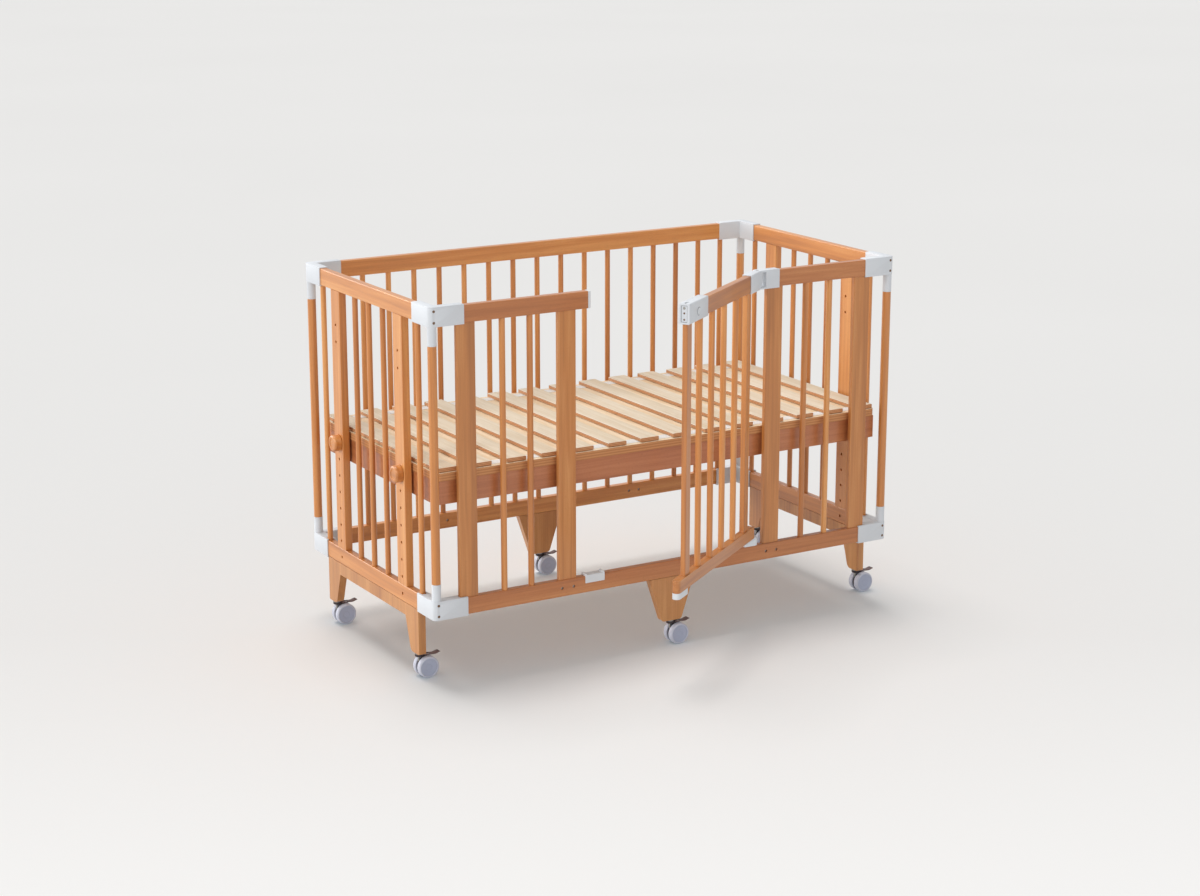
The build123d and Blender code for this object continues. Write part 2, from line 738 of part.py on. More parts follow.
# Beams under the board: two long ones between the two end ones, which take the studs
beam_inner_x = end_beam_face_x - beam_t
with BuildPart() as base_beams:
    with BuildSketch(Plane.XY.offset(beam_z)):
        with GridLocations(1, 2 * side_beam_face_y - beam_t, 1, 2):
            Rectangle(2 * (beam_inner_x - wood_fit), beam_t)
        with GridLocations(2 * end_beam_face_x - beam_t, 1, 2, 1):
            Rectangle(beam_t, 2 * side_beam_face_y)
    extrude(amount=beam_h)
    for side in (-1, 1):
        with BuildSketch(Plane.YZ.offset(side * end_beam_face_x)):
            with Locations((-height_post_y, knob_z), (height_post_y, knob_z)):
                Circle(stud_r + turn_fit)
        extrude(amount=-side * (stud_in_beam + face_gap), mode=Mode.SUBTRACT)
finish(base_beams, "base_beams")

# Plywood slats, joined near their ends by two tapes that lie on the board
with BuildPart() as slat_tapes:
    with BuildSketch(Plane.XY.offset(board_top_z)):
        with GridLocations(1, 2 * tape_y, 1, 2):
            Rectangle(slat_pitch * (slat_count - 1) + slat_w, tape_w)
    extrude(amount=tape_t)
finish(slat_tapes, "slat_tapes")

with BuildPart() as bed_slats:
    with BuildSketch(Plane.XY.offset(slat_z)):
        with GridLocations(slat_pitch, 1, slat_count, 1):
            Rectangle(slat_w, 2 * slat_half_y)
    extrude(amount=slat_t)
finish(bed_slats, "bed_slats")

# Steel studs from the end beams out through the height posts, and the four knobs that turn on them
knob_face_x = half_x + height_post_t / 2 + face_gap
stud_start_x = end_beam_face_x - stud_in_beam
with BuildPart() as knob_studs:
    with BuildSketch(Plane.YZ.offset(stud_start_x)):
        with Locations((-height_post_y, knob_z), (height_post_y, knob_z)):
            Circle(stud_r)
    extrude(amount=knob_face_x + stud_in_knob - stud_start_x)
    mirror(about=Plane.YZ)
finish(knob_studs, "knob_studs")

with BuildPart() as right_knob:
    with BuildSketch(Plane.XY):
        with Locations((knob_face_x + knob_t / 2, knob_r / 2)):
            Rectangle(knob_t, knob_r)
    revolve(axis=Axis.X)
    fillet(right_knob.edges().filter_by(GeomType.CIRCLE).sort_by(Axis.X)[-1], knob_rim)
    fillet(right_knob.edges().filter_by(GeomType.CIRCLE).sort_by(Axis.X)[0], board_edge)
    with BuildSketch(Plane.YZ.offset(knob_face_x + knob_t)):
        Circle(knob_dish_r)
    extrude(amount=-knob_dish, taper=30, mode=Mode.SUBTRACT)
    with BuildSketch(Plane.YZ.offset(knob_face_x)):
        Circle(stud_r + turn_fit)
    extrude(amount=stud_in_knob + face_gap, mode=Mode.SUBTRACT)

with BuildPart() as left_knob:
    add(right_knob.part)
    mirror(about=Plane.YZ, mode=Mode.REPLACE)

for side_name, knob in (("left", left_knob), ("right", right_knob)):
    for depth_name, y in (("front", -height_post_y), ("back", height_post_y)):
        with BuildPart() as bed_knob:
            with Locations((0, y, knob_z)):
                add(knob.part)
        finish(bed_knob, f"{depth_name}_{side_name}_knob")

# Gate rails and uprights
gate_peg_low = gate_rail_z + gate_rail_h - peg_depth
gate_peg_length = top_rail_z + peg_depth - gate_peg_low
gate_spindle_pitch = (gate_stile_far - gate_stile_near) / (gate_spindle_count + 1)
gate_spindles_s = [gate_stile_near + gate_spindle_pitch * (i + 1) for i in range(gate_spindle_count)]
gate_spindle_places = [(s, 0) for s in gate_spindles_s]
gate_stile_places = [(gate_stile_near, 0), (gate_stile_far, 0)]
gate_rail_top = gate_rail_z + gate_rail_h


def gate_sockets(z, length):
    """Cutter for the gate's round sockets and tenon mortises."""
    with BuildPart() as cutter:
        with BuildSketch(gate_level(z)):
            with Locations(*gate_spindle_places):
                Circle(gate_spindle_r + wood_fit)
            with Locations(*gate_stile_places):
                Rectangle(gate_tenon_w + 2 * wood_fit, tenon_t + 2 * wood_fit)
        extrude(amount=length)
    return cutter.part


with BuildPart() as gate_top_rail:
    with BuildSketch(gate_section(gate_sleeve_floor + face_gap)):
        with Locations((0, top_rail_mid)):
            RectangleRounded(rail_t, rail_h, rail_edge)
    extrude(amount=housing_start + housing_pocket - gate_sleeve_floor - face_gap)
    add(gate_sockets(gate_peg_low, gate_peg_length + peg_gap), mode=Mode.SUBTRACT)
finish(gate_top_rail, "gate_top_rail")

with BuildPart() as gate_bottom_rail:
    with BuildSketch(gate_level(gate_rail_z)):
        tip_centre = gate_rail_tip - gate_rail_t / 2
        with Locations((tip_centre, 0)):
            Circle(gate_rail_t / 2)
        with Locations(((gate_rail_start + tip_centre) / 2, 0)):
            Rectangle(tip_centre - gate_rail_start, gate_rail_t)
    extrude(amount=gate_rail_h)
    add(gate_sockets(gate_peg_low - peg_gap, gate_peg_length), mode=Mode.SUBTRACT)
finish(gate_bottom_rail, "gate_bottom_rail")

with BuildPart() as gate_stiles:
    with BuildSketch(gate_level(gate_rail_top)):
        with Locations(*gate_stile_places):
            RectangleRounded(gate_stile_w, gate_stile_t, board_edge)
    extrude(amount=top_rail_z - gate_rail_top)
    with BuildSketch(gate_level(gate_peg_low)):
        with Locations(*gate_stile_places):
            Rectangle(gate_tenon_w, tenon_t)
    extrude(amount=gate_peg_length)
finish(gate_stiles, "gate_stiles")

with BuildPart() as gate_spindles:
    with BuildSketch(gate_level(gate_peg_low)):
        with Locations(*gate_spindle_places):
            Circle(gate_spindle_r)
    extrude(amount=gate_peg_length)
finish(gate_spindles, "gate_spindles")

# Upper hinge sleeve on the gate, with the knuckle that sits between the bracket's ears
sleeve_start = sleeve_half + knuckle_gap
with BuildPart() as gate_hinge_sleeve:
    with BuildSketch(gate_level(top_sleeve_z)):
        with Locations(((sleeve_start + gate_sleeve_end) / 2, 0)):
            Rectangle(gate_sleeve_end - sleeve_start, 2 * sleeve_half)
    extrude(amount=sleeve_h)
    with BuildSketch(gate_level(top_sleeve_z + ear_t + face_gap)):
        Circle(sleeve_half)
        with Locations((sleeve_start / 2, 0)):
            Rectangle(sleeve_start, 2 * sleeve_half)
    extrude(amount=sleeve_h - 2 * (ear_t + face_gap))
    with BuildSketch(gate_level(top_sleeve_z)):
        Circle(hinge_pin_r + turn_fit)
    extrude(amount=sleeve_h, mode=Mode.SUBTRACT)
    with BuildSketch(gate_section(gate_sleeve_floor)):
        with Locations((0, top_rail_mid)):
            Rectangle(rail_t + 2 * wood_fit, rail_h + 2 * wood_fit)
    extrude(amount=gate_sleeve_end, mode=Mode.SUBTRACT)
    with BuildSketch(gate_level(top_sleeve_z - wood_fit)):
        with Locations((gate_stile_near, 0)):
            Rectangle(gate_stile_w + 2 * wood_fit, gate_stile_t + 2 * wood_fit)
    extrude(amount=sleeve_wall + 2 * wood_fit, mode=Mode.SUBTRACT)
finish(gate_hinge_sleeve, "gate_hinge_sleeve")

# Lower pivot plate under the gate's bottom rail
with BuildPart() as gate_pivot_plate:
    with BuildSketch(gate_level(pivot_plate_z)):
        Circle(pivot_plate_w / 2)
        with Locations((pivot_plate_end / 2, 0)):
            Rectangle(pivot_plate_end, pivot_plate_w)
        Circle(hinge_pin_r + turn_fit, mode=Mode.SUBTRACT)
    extrude(amount=pivot_plate_t)
finish(gate_pivot_plate, "gate_pivot_plate")

# Moulded catch shoe under the free end of the gate's bottom rail, hollow underneath
with BuildPart() as gate_catch:
    with BuildSketch(gate_level(gate_rail_z - catch_h)) as shoe_outline:
        with Locations((tip_centre, 0)):
            Circle(gate_rail_t / 2)
        with Locations(((catch_start + tip_centre) / 2, 0)):
            Rectangle(tip_centre - catch_start, gate_rail_t)
    extrude(amount=catch_h)
    with BuildSketch(gate_level(gate_rail_z - catch_h)):
        add(shoe_outline.sketch_local)
        offset(amount=-catch_wall, mode=Mode.REPLACE)
    extrude(amount=catch_h - catch_wall, mode=Mode.SUBTRACT)
finish(gate_catch, "gate_catch")

# Latch housing: pocket for the rail and the stile, recessed end plate, bolt bore, button bore, slide slot
housing_mid_z = top_rail_mid + (housing_h - sleeve_h) / 2
housing_low = housing_mid_z - housing_h / 2
housing_high = housing_mid_z + housing_h / 2
housing_face = housing_t / 2
plate_floor = housing_end - plate_recess
bolt_tail = plate_floor - latch_bolt_length
with BuildPart() as latch_housing:
    with BuildSketch(gate_section(housing_start)):
        with Locations((0, housing_mid_z)):
            RectangleRounded(housing_t, housing_h, housing_edge)
    extrude(amount=housing_end - housing_start)
    with BuildSketch(gate_section(housing_start)):
        with Locations((0, top_rail_mid)):
            Rectangle(rail_t + 2 * wood_fit, rail_h + 2 * wood_fit)
    extrude(amount=housing_pocket + face_gap, mode=Mode.SUBTRACT)
    with BuildSketch(gate_section(plate_floor)):
        with Locations((0, housing_mid_z)):
            RectangleRounded(plate_w, plate_h, board_edge)
    extrude(amount=plate_recess, mode=Mode.SUBTRACT)
    with BuildSketch(gate_section(bolt_tail - face_gap)):
        with Locations((0, latch_bolt_z)):
            Circle(latch_bolt_r + turn_fit)
    extrude(amount=latch_bolt_length + 2 * face_gap, mode=Mode.SUBTRACT)
    with BuildSketch(gate_level(latch_bolt_z)):
        with Locations((thumb_s + latch_travel / 2, 0)):
            slot_w = 2 * (thumb_neck_r + wood_fit)
            SlotOverall(latch_travel + slot_w, slot_w)
    extrude(amount=housing_high - latch_bolt_z, mode=Mode.SUBTRACT)
    with BuildSketch(gate_face(housing_face)):
        with Locations((button_s, button_z)):
            Circle(button_r + wood_fit)
    extrude(amount=button_length - button_proud + button_travel + face_gap, mode=Mode.SUBTRACT)
    with BuildSketch(gate_section(plate_floor)):
        with Locations((0, latch_screw_low_z), (0, latch_screw_high_z)):
            Circle(latch_screw_r + turn_fit)
    extrude(amount=-latch_screw_length, mode=Mode.SUBTRACT)
    with BuildSketch(gate_level(housing_low - wood_fit)):
        with Locations(gate_spindle_places[-1]):
            Circle(gate_spindle_r + wood_fit)
        with Locations((gate_stile_far, 0)):
            Rectangle(gate_stile_w + 2 * wood_fit, gate_stile_t + 2 * wood_fit)
    extrude(amount=top_rail_z - housing_low + 2 * wood_fit, mode=Mode.SUBTRACT)
    with BuildSketch(gate_level(top_rail_z)):
        with Locations((gate_stile_far, 0)):
            Rectangle(gate_tenon_w + 2 * wood_fit, tenon_t + 2 * wood_fit)
    extrude(amount=peg_depth + peg_gap, mode=Mode.SUBTRACT)
finish(latch_housing, "latch_housing")

# Two screws in the latch housing's end plate
with BuildPart() as latch_screws:
    with BuildSketch(gate_section(plate_floor)):
        with Locations((0, latch_screw_low_z), (0, latch_screw_high_z)):
            Circle(latch_screw_r)
    extrude(amount=-latch_screw_length + face_gap)
finish(latch_screws, "latch_screws")

# Bolt in the housing, with a cross hole for the thumb slide's neck
neck_depth = latch_bolt_r
with BuildPart() as latch_bolt:
    with BuildSketch(gate_section(bolt_tail)):
        with Locations((0, latch_bolt_z)):
            Circle(latch_bolt_r)
    extrude(amount=latch_bolt_length)
    with BuildSketch(gate_level(latch_bolt_z)):
        with Locations((thumb_s, 0)):
            Circle(thumb_neck_r + turn_fit)
    extrude(amount=neck_depth + face_gap, mode=Mode.SUBTRACT)
finish(latch_bolt, "latch_bolt")

# Thumb slide: an oval cap above the housing on a neck that reaches down into the bolt
with BuildPart() as latch_thumb:
    with BuildSketch(gate_level(housing_high + face_gap)):
        with Locations((thumb_s, 0)):
            SlotOverall(thumb_l, thumb_w)
    extrude(amount=thumb_t)
    with BuildSketch(gate_level(latch_bolt_z + face_gap)):
        with Locations((thumb_s, 0)):
            Circle(thumb_neck_r)
    extrude(amount=housing_high - latch_bolt_z)
finish(latch_thumb, "latch_thumb")

# Round push button with a dished face
with BuildPart() as latch_button:
    with BuildSketch(gate_face(housing_face + button_proud)):
        with Locations((button_s, button_z)):
            Circle(button_r)
    extrude(amount=button_length)
    with BuildSketch(gate_face(housing_face + button_proud)):
        with Locations((button_s, button_z)):
            Circle(button_dish_r)
    extrude(amount=button_dish, taper=30, mode=Mode.SUBTRACT)
finish(latch_button, "latch_button")

# One caster, drawn with its stem on the Z axis and its wheels trailing toward +X
flange_z = leg_foot_z - flange_t
head_top = flange_z - face_gap
with BuildPart() as stem:
    with BuildSketch(Plane.XY.offset(flange_z)):
        Circle(flange_r)
    extrude(amount=flange_t)
    with BuildSketch(Plane.XY.offset(leg_foot_z)):
        Circle(stem_r)
    extrude(amount=stem_length)
    with BuildSketch(Plane.XY.offset(flange_z)):
        Circle(pintle_r)
    extrude(amount=-pintle_length)

with BuildPart() as swivel_body:
    with BuildSketch(Plane.XZ):
        with Locations((trail, wheel_r)):
            Circle(web_r)
        with Locations((web_back_x, web_shoulder_z), (pedal_pivot_x, web_shoulder_z)):
            Circle(web_shoulder_r)
        make_hull()
    extrude(amount=web_t / 2, both=True)
    with BuildSketch(Plane.XY.offset(head_top - head_h)):
        Circle(flange_r)
    extrude(amount=head_h)
    with BuildSketch(Plane.XY.offset(head_top)):
        Circle(pintle_r + turn_fit)
    extrude(amount=-pintle_length, mode=Mode.SUBTRACT)
    with BuildSketch(Plane.XZ):
        with Locations((trail, wheel_r)):
            Circle(axle_r + turn_fit)
        with Locations((pedal_pivot_x, pedal_pivot_z)):
            Circle(pedal_pin_r + turn_fit)
    extrude(amount=web_t, both=True, mode=Mode.SUBTRACT)

wheel_in = web_t / 2 + web_gap
wheel_out = wheel_in + wheel_t
axle_half = wheel_out - wheel_inner_round
with BuildPart() as outer_wheel:
    with BuildSketch(Plane.YZ) as wheel_half:
        with Locations((wheel_in + wheel_t / 2, wheel_r / 2)):
            Rectangle(wheel_t, wheel_r)
        rim = wheel_half.vertices().group_by(Axis.Y)[-1].sort_by(Axis.X)
        fillet(rim[-1], wheel_rim)
        fillet(rim[0], wheel_inner_round)
        with Locations((wheel_out - wheel_face_dish / 2, wheel_face_r / 2)):
            Rectangle(wheel_face_dish, wheel_face_r, mode=Mode.SUBTRACT)
        with Locations(((wheel_in + axle_half) / 2, axle_r / 2)):
            Rectangle(axle_half - wheel_in, axle_r + 2 * turn_fit, mode=Mode.SUBTRACT)
    revolve(axis=Axis.Y)

with BuildPart() as axle:
    with BuildSketch(Plane.XZ):
        Circle(axle_r)
    extrude(amount=axle_half - turn_fit, both=True)

with BuildPart() as brake_pedal:
    with BuildSketch(Plane.XZ):
        with Locations((pedal_pivot_x, pedal_pivot_z)):
            Circle(pedal_root_r)
        with Locations((pedal_tip_x, pedal_tip_z)):
            Circle(pedal_tip_r)
        make_hull()
    extrude(amount=pedal_w / 2, both=True)
    with BuildSketch(Plane.XY.offset(leg_foot_z)):
        with Locations((pedal_slot_x / 2, 0)):
            Rectangle(pedal_slot_x, web_t + 2 * web_gap)
    extrude(amount=-leg_foot_z, mode=Mode.SUBTRACT)
    with BuildSketch(Plane.XZ):
        with Locations((pedal_pivot_x, pedal_pivot_z)):
            Circle(pedal_pin_r)
    extrude(amount=web_t / 2 + 2 * web_gap, both=True)

# Stems fixed in the legs
caster_x = {"left": -half_x, "middle": 0.0, "right": half_x}
caster_places = []
for depth_name, depth in (("front", -1), ("back", 1)):
    for side_name, x in caster_x.items():
        reach = half_y if side_name == "middle" else caster_y
        caster_places.append((f"{depth_name}_{side_name}", x, depth * reach))

with BuildPart() as caster_stems:
    with Locations(*[(x, y, 0) for name, x, y in caster_places]):
        add(stem.part)
finish(caster_stems, "caster_stems")

# Each caster's swivelling body, wheel pair and brake pedal
for name, x, y in caster_places:
    with BuildPart() as caster_body:
        with Locations((x, y, 0)):
            add(swivel_body.part)
    finish(caster_body, f"{name}_caster_body")
    with BuildPart() as caster_wheels:
        with Locations((x + trail, y, wheel_r)):
            add(outer_wheel.part)
            add(mirror(outer_wheel.part, about=Plane.XZ, mode=Mode.PRIVATE))
            add(axle.part)
    finish(caster_wheels, f"{name}_caster_wheels")
    with BuildPart() as caster_brake:
        with Locations((x, y, 0)):
            add(brake_pedal.part)
    finish(caster_brake, f"{name}_caster_brake")
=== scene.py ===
"""Looks for the wooden crib: finishes, moulded fittings, casters, studio and camera. Metres, Z up."""
from math import cos, pi, radians, sin

import bmesh
import bpy
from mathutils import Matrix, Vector


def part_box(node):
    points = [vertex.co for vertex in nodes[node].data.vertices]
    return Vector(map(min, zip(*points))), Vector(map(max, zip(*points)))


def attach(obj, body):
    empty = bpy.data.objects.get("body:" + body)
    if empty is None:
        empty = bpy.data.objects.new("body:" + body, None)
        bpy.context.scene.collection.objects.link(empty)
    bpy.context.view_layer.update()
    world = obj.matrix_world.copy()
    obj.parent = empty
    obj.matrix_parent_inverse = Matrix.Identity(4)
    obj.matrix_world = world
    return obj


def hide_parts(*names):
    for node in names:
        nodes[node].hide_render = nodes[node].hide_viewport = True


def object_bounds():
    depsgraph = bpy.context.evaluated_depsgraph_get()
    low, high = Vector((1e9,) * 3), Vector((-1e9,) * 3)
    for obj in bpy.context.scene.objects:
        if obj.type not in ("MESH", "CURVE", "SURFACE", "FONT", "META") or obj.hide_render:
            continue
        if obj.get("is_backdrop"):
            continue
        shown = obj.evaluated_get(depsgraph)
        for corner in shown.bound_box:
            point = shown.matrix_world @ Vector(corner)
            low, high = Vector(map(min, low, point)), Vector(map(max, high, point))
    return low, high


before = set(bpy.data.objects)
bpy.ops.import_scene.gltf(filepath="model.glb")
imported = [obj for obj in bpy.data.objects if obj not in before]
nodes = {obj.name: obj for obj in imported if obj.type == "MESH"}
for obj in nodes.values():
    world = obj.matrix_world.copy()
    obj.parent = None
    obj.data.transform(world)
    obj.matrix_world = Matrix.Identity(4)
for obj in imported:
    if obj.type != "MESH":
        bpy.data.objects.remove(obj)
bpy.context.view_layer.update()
MM = 0.001

# Sizes repeated from the CAD source, in millimetres
HALF_X, HALF_Y = 610.0, 311.7
GATE_TURN = radians(35)
PIVOT_X = 233.0
PLATE_FLOOR, PLATE_HALF_W, PLATE_HALF_H, PLATE_CORNER_R = 447.8, 7.4, 18.4, 2.0
BUTTON_ALONG, BUTTON_Z = 395.0, 843.0
CASTER_Y, TRAIL, WHEEL_R = 218.0, 18.0, 25.0
WHEEL_INNER_FACE, WHEEL_OUTER_FACE, DISC_R = 4.2, 18.2, 20.4
WEB_R, WEB_TOP = 21.0, 47.0
SLAT_COUNT, SLAT_PITCH_M, SLAT_HALF_LENGTH_M = 14, 0.08735, 0.290
CASTERS = {
    "front_left": (-HALF_X, -CASTER_Y), "front_middle": (0.0, -HALF_Y), "front_right": (HALF_X, -CASTER_Y),
    "back_left": (-HALF_X, CASTER_Y), "back_middle": (0.0, HALF_Y), "back_right": (HALF_X, CASTER_Y),
}


# Materials

def linear(hex_colour):
    """An sRGB hex colour as the linear colour that shader sockets take."""
    parts = [int(hex_colour[i:i + 2], 16) / 255 for i in (1, 3, 5)]
    return [c / 12.92 if c <= 0.04045 else ((c + 0.055) / 1.055) ** 2.4 for c in parts] + [1.0]


def add_node(tree, kind, inputs=None, **settings):
    """Adds one node: its settings, then its sockets, each from a value or another node's output."""
    made = tree.nodes.new(kind)
    for name, value in settings.items():
        setattr(made, name, value)
    for socket, value in (inputs or {}).items():
        if isinstance(value, bpy.types.NodeSocket):
            tree.links.new(value, made.inputs[socket])
        else:
            made.inputs[socket].default_value = value
    return made


def new_material(name):
    """An empty node material and its tree."""
    material = bpy.data.materials.new(name)
    material.use_nodes = True
    material.node_tree.nodes.clear()
    return material, material.node_tree


def close(tree, surface):
    """Sends the finished surface to the material's output."""
    add_node(tree, "ShaderNodeOutputMaterial", {"Surface": surface.outputs[0]})


# Noise scales count features per metre: growth bands are about 10 mm wide, boards differ over 77 mm, and the
# ray flecks of beech are drawn 1 mm wide and 7 mm long, coarser than real ones so that they show
BANDS_PER_M, BOARDS_PER_M, RAYS_PER_M = 95.0, 13.0, 900.0
BAND_STRETCH, RAY_STRETCH = 0.035, 0.16
SATIN = 0.34


def lacquered_wood(name, along, deep, base, pale, turn=0.0, fleck=1.0):
    """Planed and sanded hardwood under clear satin lacquer, its grain along one axis."""
    material, tree = new_material(name)
    place = add_node(tree, "ShaderNodeTexCoord")
    turned = add_node(tree, "ShaderNodeMapping", {0: place.outputs["Object"], "Rotation": (0, 0, -turn)})
    squeeze = [1.0, 1.0, 1.0]
    squeeze["XYZ".index(along)] = BAND_STRETCH
    lengthwise = add_node(tree, "ShaderNodeMapping", {0: turned.outputs[0], "Scale": squeeze})
    bands = add_node(tree, "ShaderNodeTexNoise", {
        0: lengthwise.outputs[0], "Scale": BANDS_PER_M, "Detail": 3.0, "Roughness": 0.55, "Distortion": 0.4})
    boards = add_node(tree, "ShaderNodeTexNoise", {
        0: lengthwise.outputs[0], "Scale": BOARDS_PER_M, "Detail": 1.0})
    short = [1.0, 1.0, 1.0]
    short["XYZ".index(along)] = RAY_STRETCH
    flecked = add_node(tree, "ShaderNodeMapping", {0: turned.outputs[0], "Scale": short})
    rays = add_node(tree, "ShaderNodeTexNoise", {
        0: flecked.outputs[0], "Scale": RAYS_PER_M, "Detail": 2.0, "Roughness": 0.6})
    ray_mask = add_node(tree, "ShaderNodeMapRange",
                        {0: rays.outputs[0], 1: 0.56, 2: 0.72, 3: 0.0, 4: 0.42 * fleck})
    tone = add_node(tree, "ShaderNodeMath", {0: bands.outputs[0], 1: boards.outputs[0]}, operation="ADD")
    ramp = add_node(tree, "ShaderNodeValToRGB", {0: add_node(
        tree, "ShaderNodeMapRange", {0: tone.outputs[0], 1: 0.68, 2: 1.32}).outputs[0]})
    ramp.color_ramp.elements[0].color = linear(deep)
    ramp.color_ramp.elements[1].color = linear(pale)
    ramp.color_ramp.elements.new(0.5).color = linear(base)
    colour = add_node(tree, "ShaderNodeMix", {
        "Factor": ray_mask.outputs[0], 6: ramp.outputs[0], 7: linear(deep)}, data_type="RGBA")
    rough = add_node(tree, "ShaderNodeMapRange", {
        0: bands.outputs[0], 3: SATIN - 0.04, 4: SATIN + 0.08})
    soft = add_node(tree, "ShaderNodeBevel", {"Radius": 0.0007}, samples=4)
    grain = add_node(tree, "ShaderNodeBump",
                     {"Height": rays.outputs[0], "Strength": 0.10, "Distance": 0.0002,
                      "Normal": soft.outputs[0]})
    close(tree, add_node(tree, "ShaderNodeBsdfPrincipled", {
        "Base Color": colour.outputs[2], "Roughness": rough.outputs[0], "Normal": grain.outputs[0],
        "IOR": 1.5, "Coat Weight": 0.5, "Coat Roughness": 0.28}))
    return material


def plywood(name, face, streak, edge, edge_dark, ply):
    """Rotary-cut birch plywood: a pale streaked face, and sawn edges that show plies, their thickness in mm."""
    material, tree = new_material(name)
    place = add_node(tree, "ShaderNodeTexCoord")
    along_y = add_node(tree, "ShaderNodeMapping", {0: place.outputs["Object"], "Scale": (1.0, 0.03, 1.0)})
    fibres = add_node(tree, "ShaderNodeTexNoise",
                      {0: along_y.outputs[0], "Scale": 420.0, "Detail": 4.0, "Roughness": 0.62})
    clouds = add_node(tree, "ShaderNodeTexNoise", {
        0: along_y.outputs[0], "Scale": 42.0, "Detail": 2.0, "Distortion": 0.8})
    tone = add_node(tree, "ShaderNodeMath", {0: fibres.outputs[0], 1: clouds.outputs[0]}, operation="ADD")
    top = add_node(tree, "ShaderNodeMix", {"Factor": add_node(
        tree, "ShaderNodeMapRange", {0: tone.outputs[0], 1: 0.78, 2: 1.28}).outputs[0],
        6: linear(streak), 7: linear(face)}, data_type="RGBA")
    parts = add_node(tree, "ShaderNodeSeparateXYZ", {0: place.outputs["Object"]})
    plies = add_node(tree, "ShaderNodeMath", {
        0: parts.outputs[2], 1: 2 * pi / (2 * ply * MM)}, operation="MULTIPLY")
    wave = add_node(tree, "ShaderNodeMath", {0: plies.outputs[0]}, operation="SINE")
    wave_mask = add_node(tree, "ShaderNodeMapRange", {0: wave.outputs[0], 1: -0.25, 2: 0.25})
    cut = add_node(tree, "ShaderNodeMix", {
        "Factor": wave_mask.outputs[0], 6: linear(edge_dark), 7: linear(edge)}, data_type="RGBA")
    facing = add_node(tree, "ShaderNodeNewGeometry")
    tilt = add_node(tree, "ShaderNodeSeparateXYZ", {0: facing.outputs["True Normal"]})
    level = add_node(tree, "ShaderNodeMath", {0: tilt.outputs[2]}, operation="ABSOLUTE")
    is_face = add_node(tree, "ShaderNodeMath", {0: level.outputs[0], 1: 0.6}, operation="GREATER_THAN")
    colour = add_node(tree, "ShaderNodeMix", {
        "Factor": is_face.outputs[0], 6: cut.outputs[2], 7: top.outputs[2]}, data_type="RGBA")
    soft = add_node(tree, "ShaderNodeBevel", {"Radius": 0.0006}, samples=4)
    bump = add_node(tree, "ShaderNodeBump",
                    {"Height": fibres.outputs[0], "Strength": 0.16, "Distance": 0.0003,
                      "Normal": soft.outputs[0]})
    close(tree, add_node(tree, "ShaderNodeBsdfPrincipled", {
        "Base Color": colour.outputs[2], "Roughness": 0.62, "Normal": bump.outputs[0], "IOR": 1.5}))
    return material


def moulded(name, colour, shade, gloss):
    """Injection-moulded plastic: a fine spark-eroded texture, and a faint drift of gloss from handling."""
    material, tree = new_material(name)
    place = add_node(tree, "ShaderNodeTexCoord")
    grit = add_node(tree, "ShaderNodeTexNoise", {0: place.outputs["Object"], "Scale": 1400.0, "Detail": 2.0})
    drift = add_node(tree, "ShaderNodeTexNoise", {0: place.outputs["Object"], "Scale": 26.0, "Detail": 3.0})
    tint = add_node(tree, "ShaderNodeMix", {
        "Factor": drift.outputs[0], 6: linear(shade), 7: linear(colour)}, data_type="RGBA")
    rough = add_node(tree, "ShaderNodeMapRange", {
        0: drift.outputs[0], 1: 0.3, 2: 0.7, 3: gloss - 0.06, 4: gloss + 0.06})
    soft = add_node(tree, "ShaderNodeBevel", {"Radius": 0.0006}, samples=4)
    bump = add_node(tree, "ShaderNodeBump",
                    {"Height": grit.outputs[0], "Strength": 0.05, "Distance": 0.0002,
                      "Normal": soft.outputs[0]})
    close(tree, add_node(tree, "ShaderNodeBsdfPrincipled", {
        "Base Color": tint.outputs[2], "Roughness": rough.outputs[0], "Normal": bump.outputs[0], "IOR": 1.5,
        "Specular IOR Level": 0.16}))
    return material


def zinc_plated(name, colour, dark):
    """Plated steel: a soft metal with dull patches of passivation."""
    material, tree = new_material(name)
    place = add_node(tree, "ShaderNodeTexCoord")
    patches = add_node(tree, "ShaderNodeTexNoise",
                       {0: place.outputs["Object"], "Scale": 300.0, "Detail": 4.0})
    tint = add_node(tree, "ShaderNodeMix", {
        "Factor": patches.outputs[0], 6: linear(dark), 7: linear(colour)}, data_type="RGBA")
    rough = add_node(tree, "ShaderNodeMapRange", {0: patches.outputs[0], 3: 0.26, 4: 0.46})
    close(tree, add_node(tree, "ShaderNodeBsdfPrincipled", {
        "Base Color": tint.outputs[2], "Roughness": rough.outputs[0], "Metallic": 1.0}))
    return material


def woven_tape(name, light, dark):
    """Woven polyester tape in plain weave, its threads drawn coarser than real ones so that they show."""
    material, tree = new_material(name)
    place = add_node(tree, "ShaderNodeTexCoord")
    warp, weft = (
        add_node(tree, "ShaderNodeTexWave", {0: place.outputs["Object"], "Scale": 114.0}, bands_direction=way)
        for way in "XY")
    weave = add_node(tree, "ShaderNodeMath", {0: warp.outputs[1], 1: weft.outputs[1]}, operation="MULTIPLY")
    tint = add_node(tree, "ShaderNodeMix", {
        "Factor": weave.outputs[0], 6: linear(dark), 7: linear(light)}, data_type="RGBA")
    bump = add_node(tree, "ShaderNodeBump", {"Height": weave.outputs[0], "Strength": 0.5, "Distance": 0.0003})
    close(tree, add_node(tree, "ShaderNodeBsdfPrincipled", {
        "Base Color": tint.outputs[2], "Roughness": 0.85, "Normal": bump.outputs[0]}))
    return material


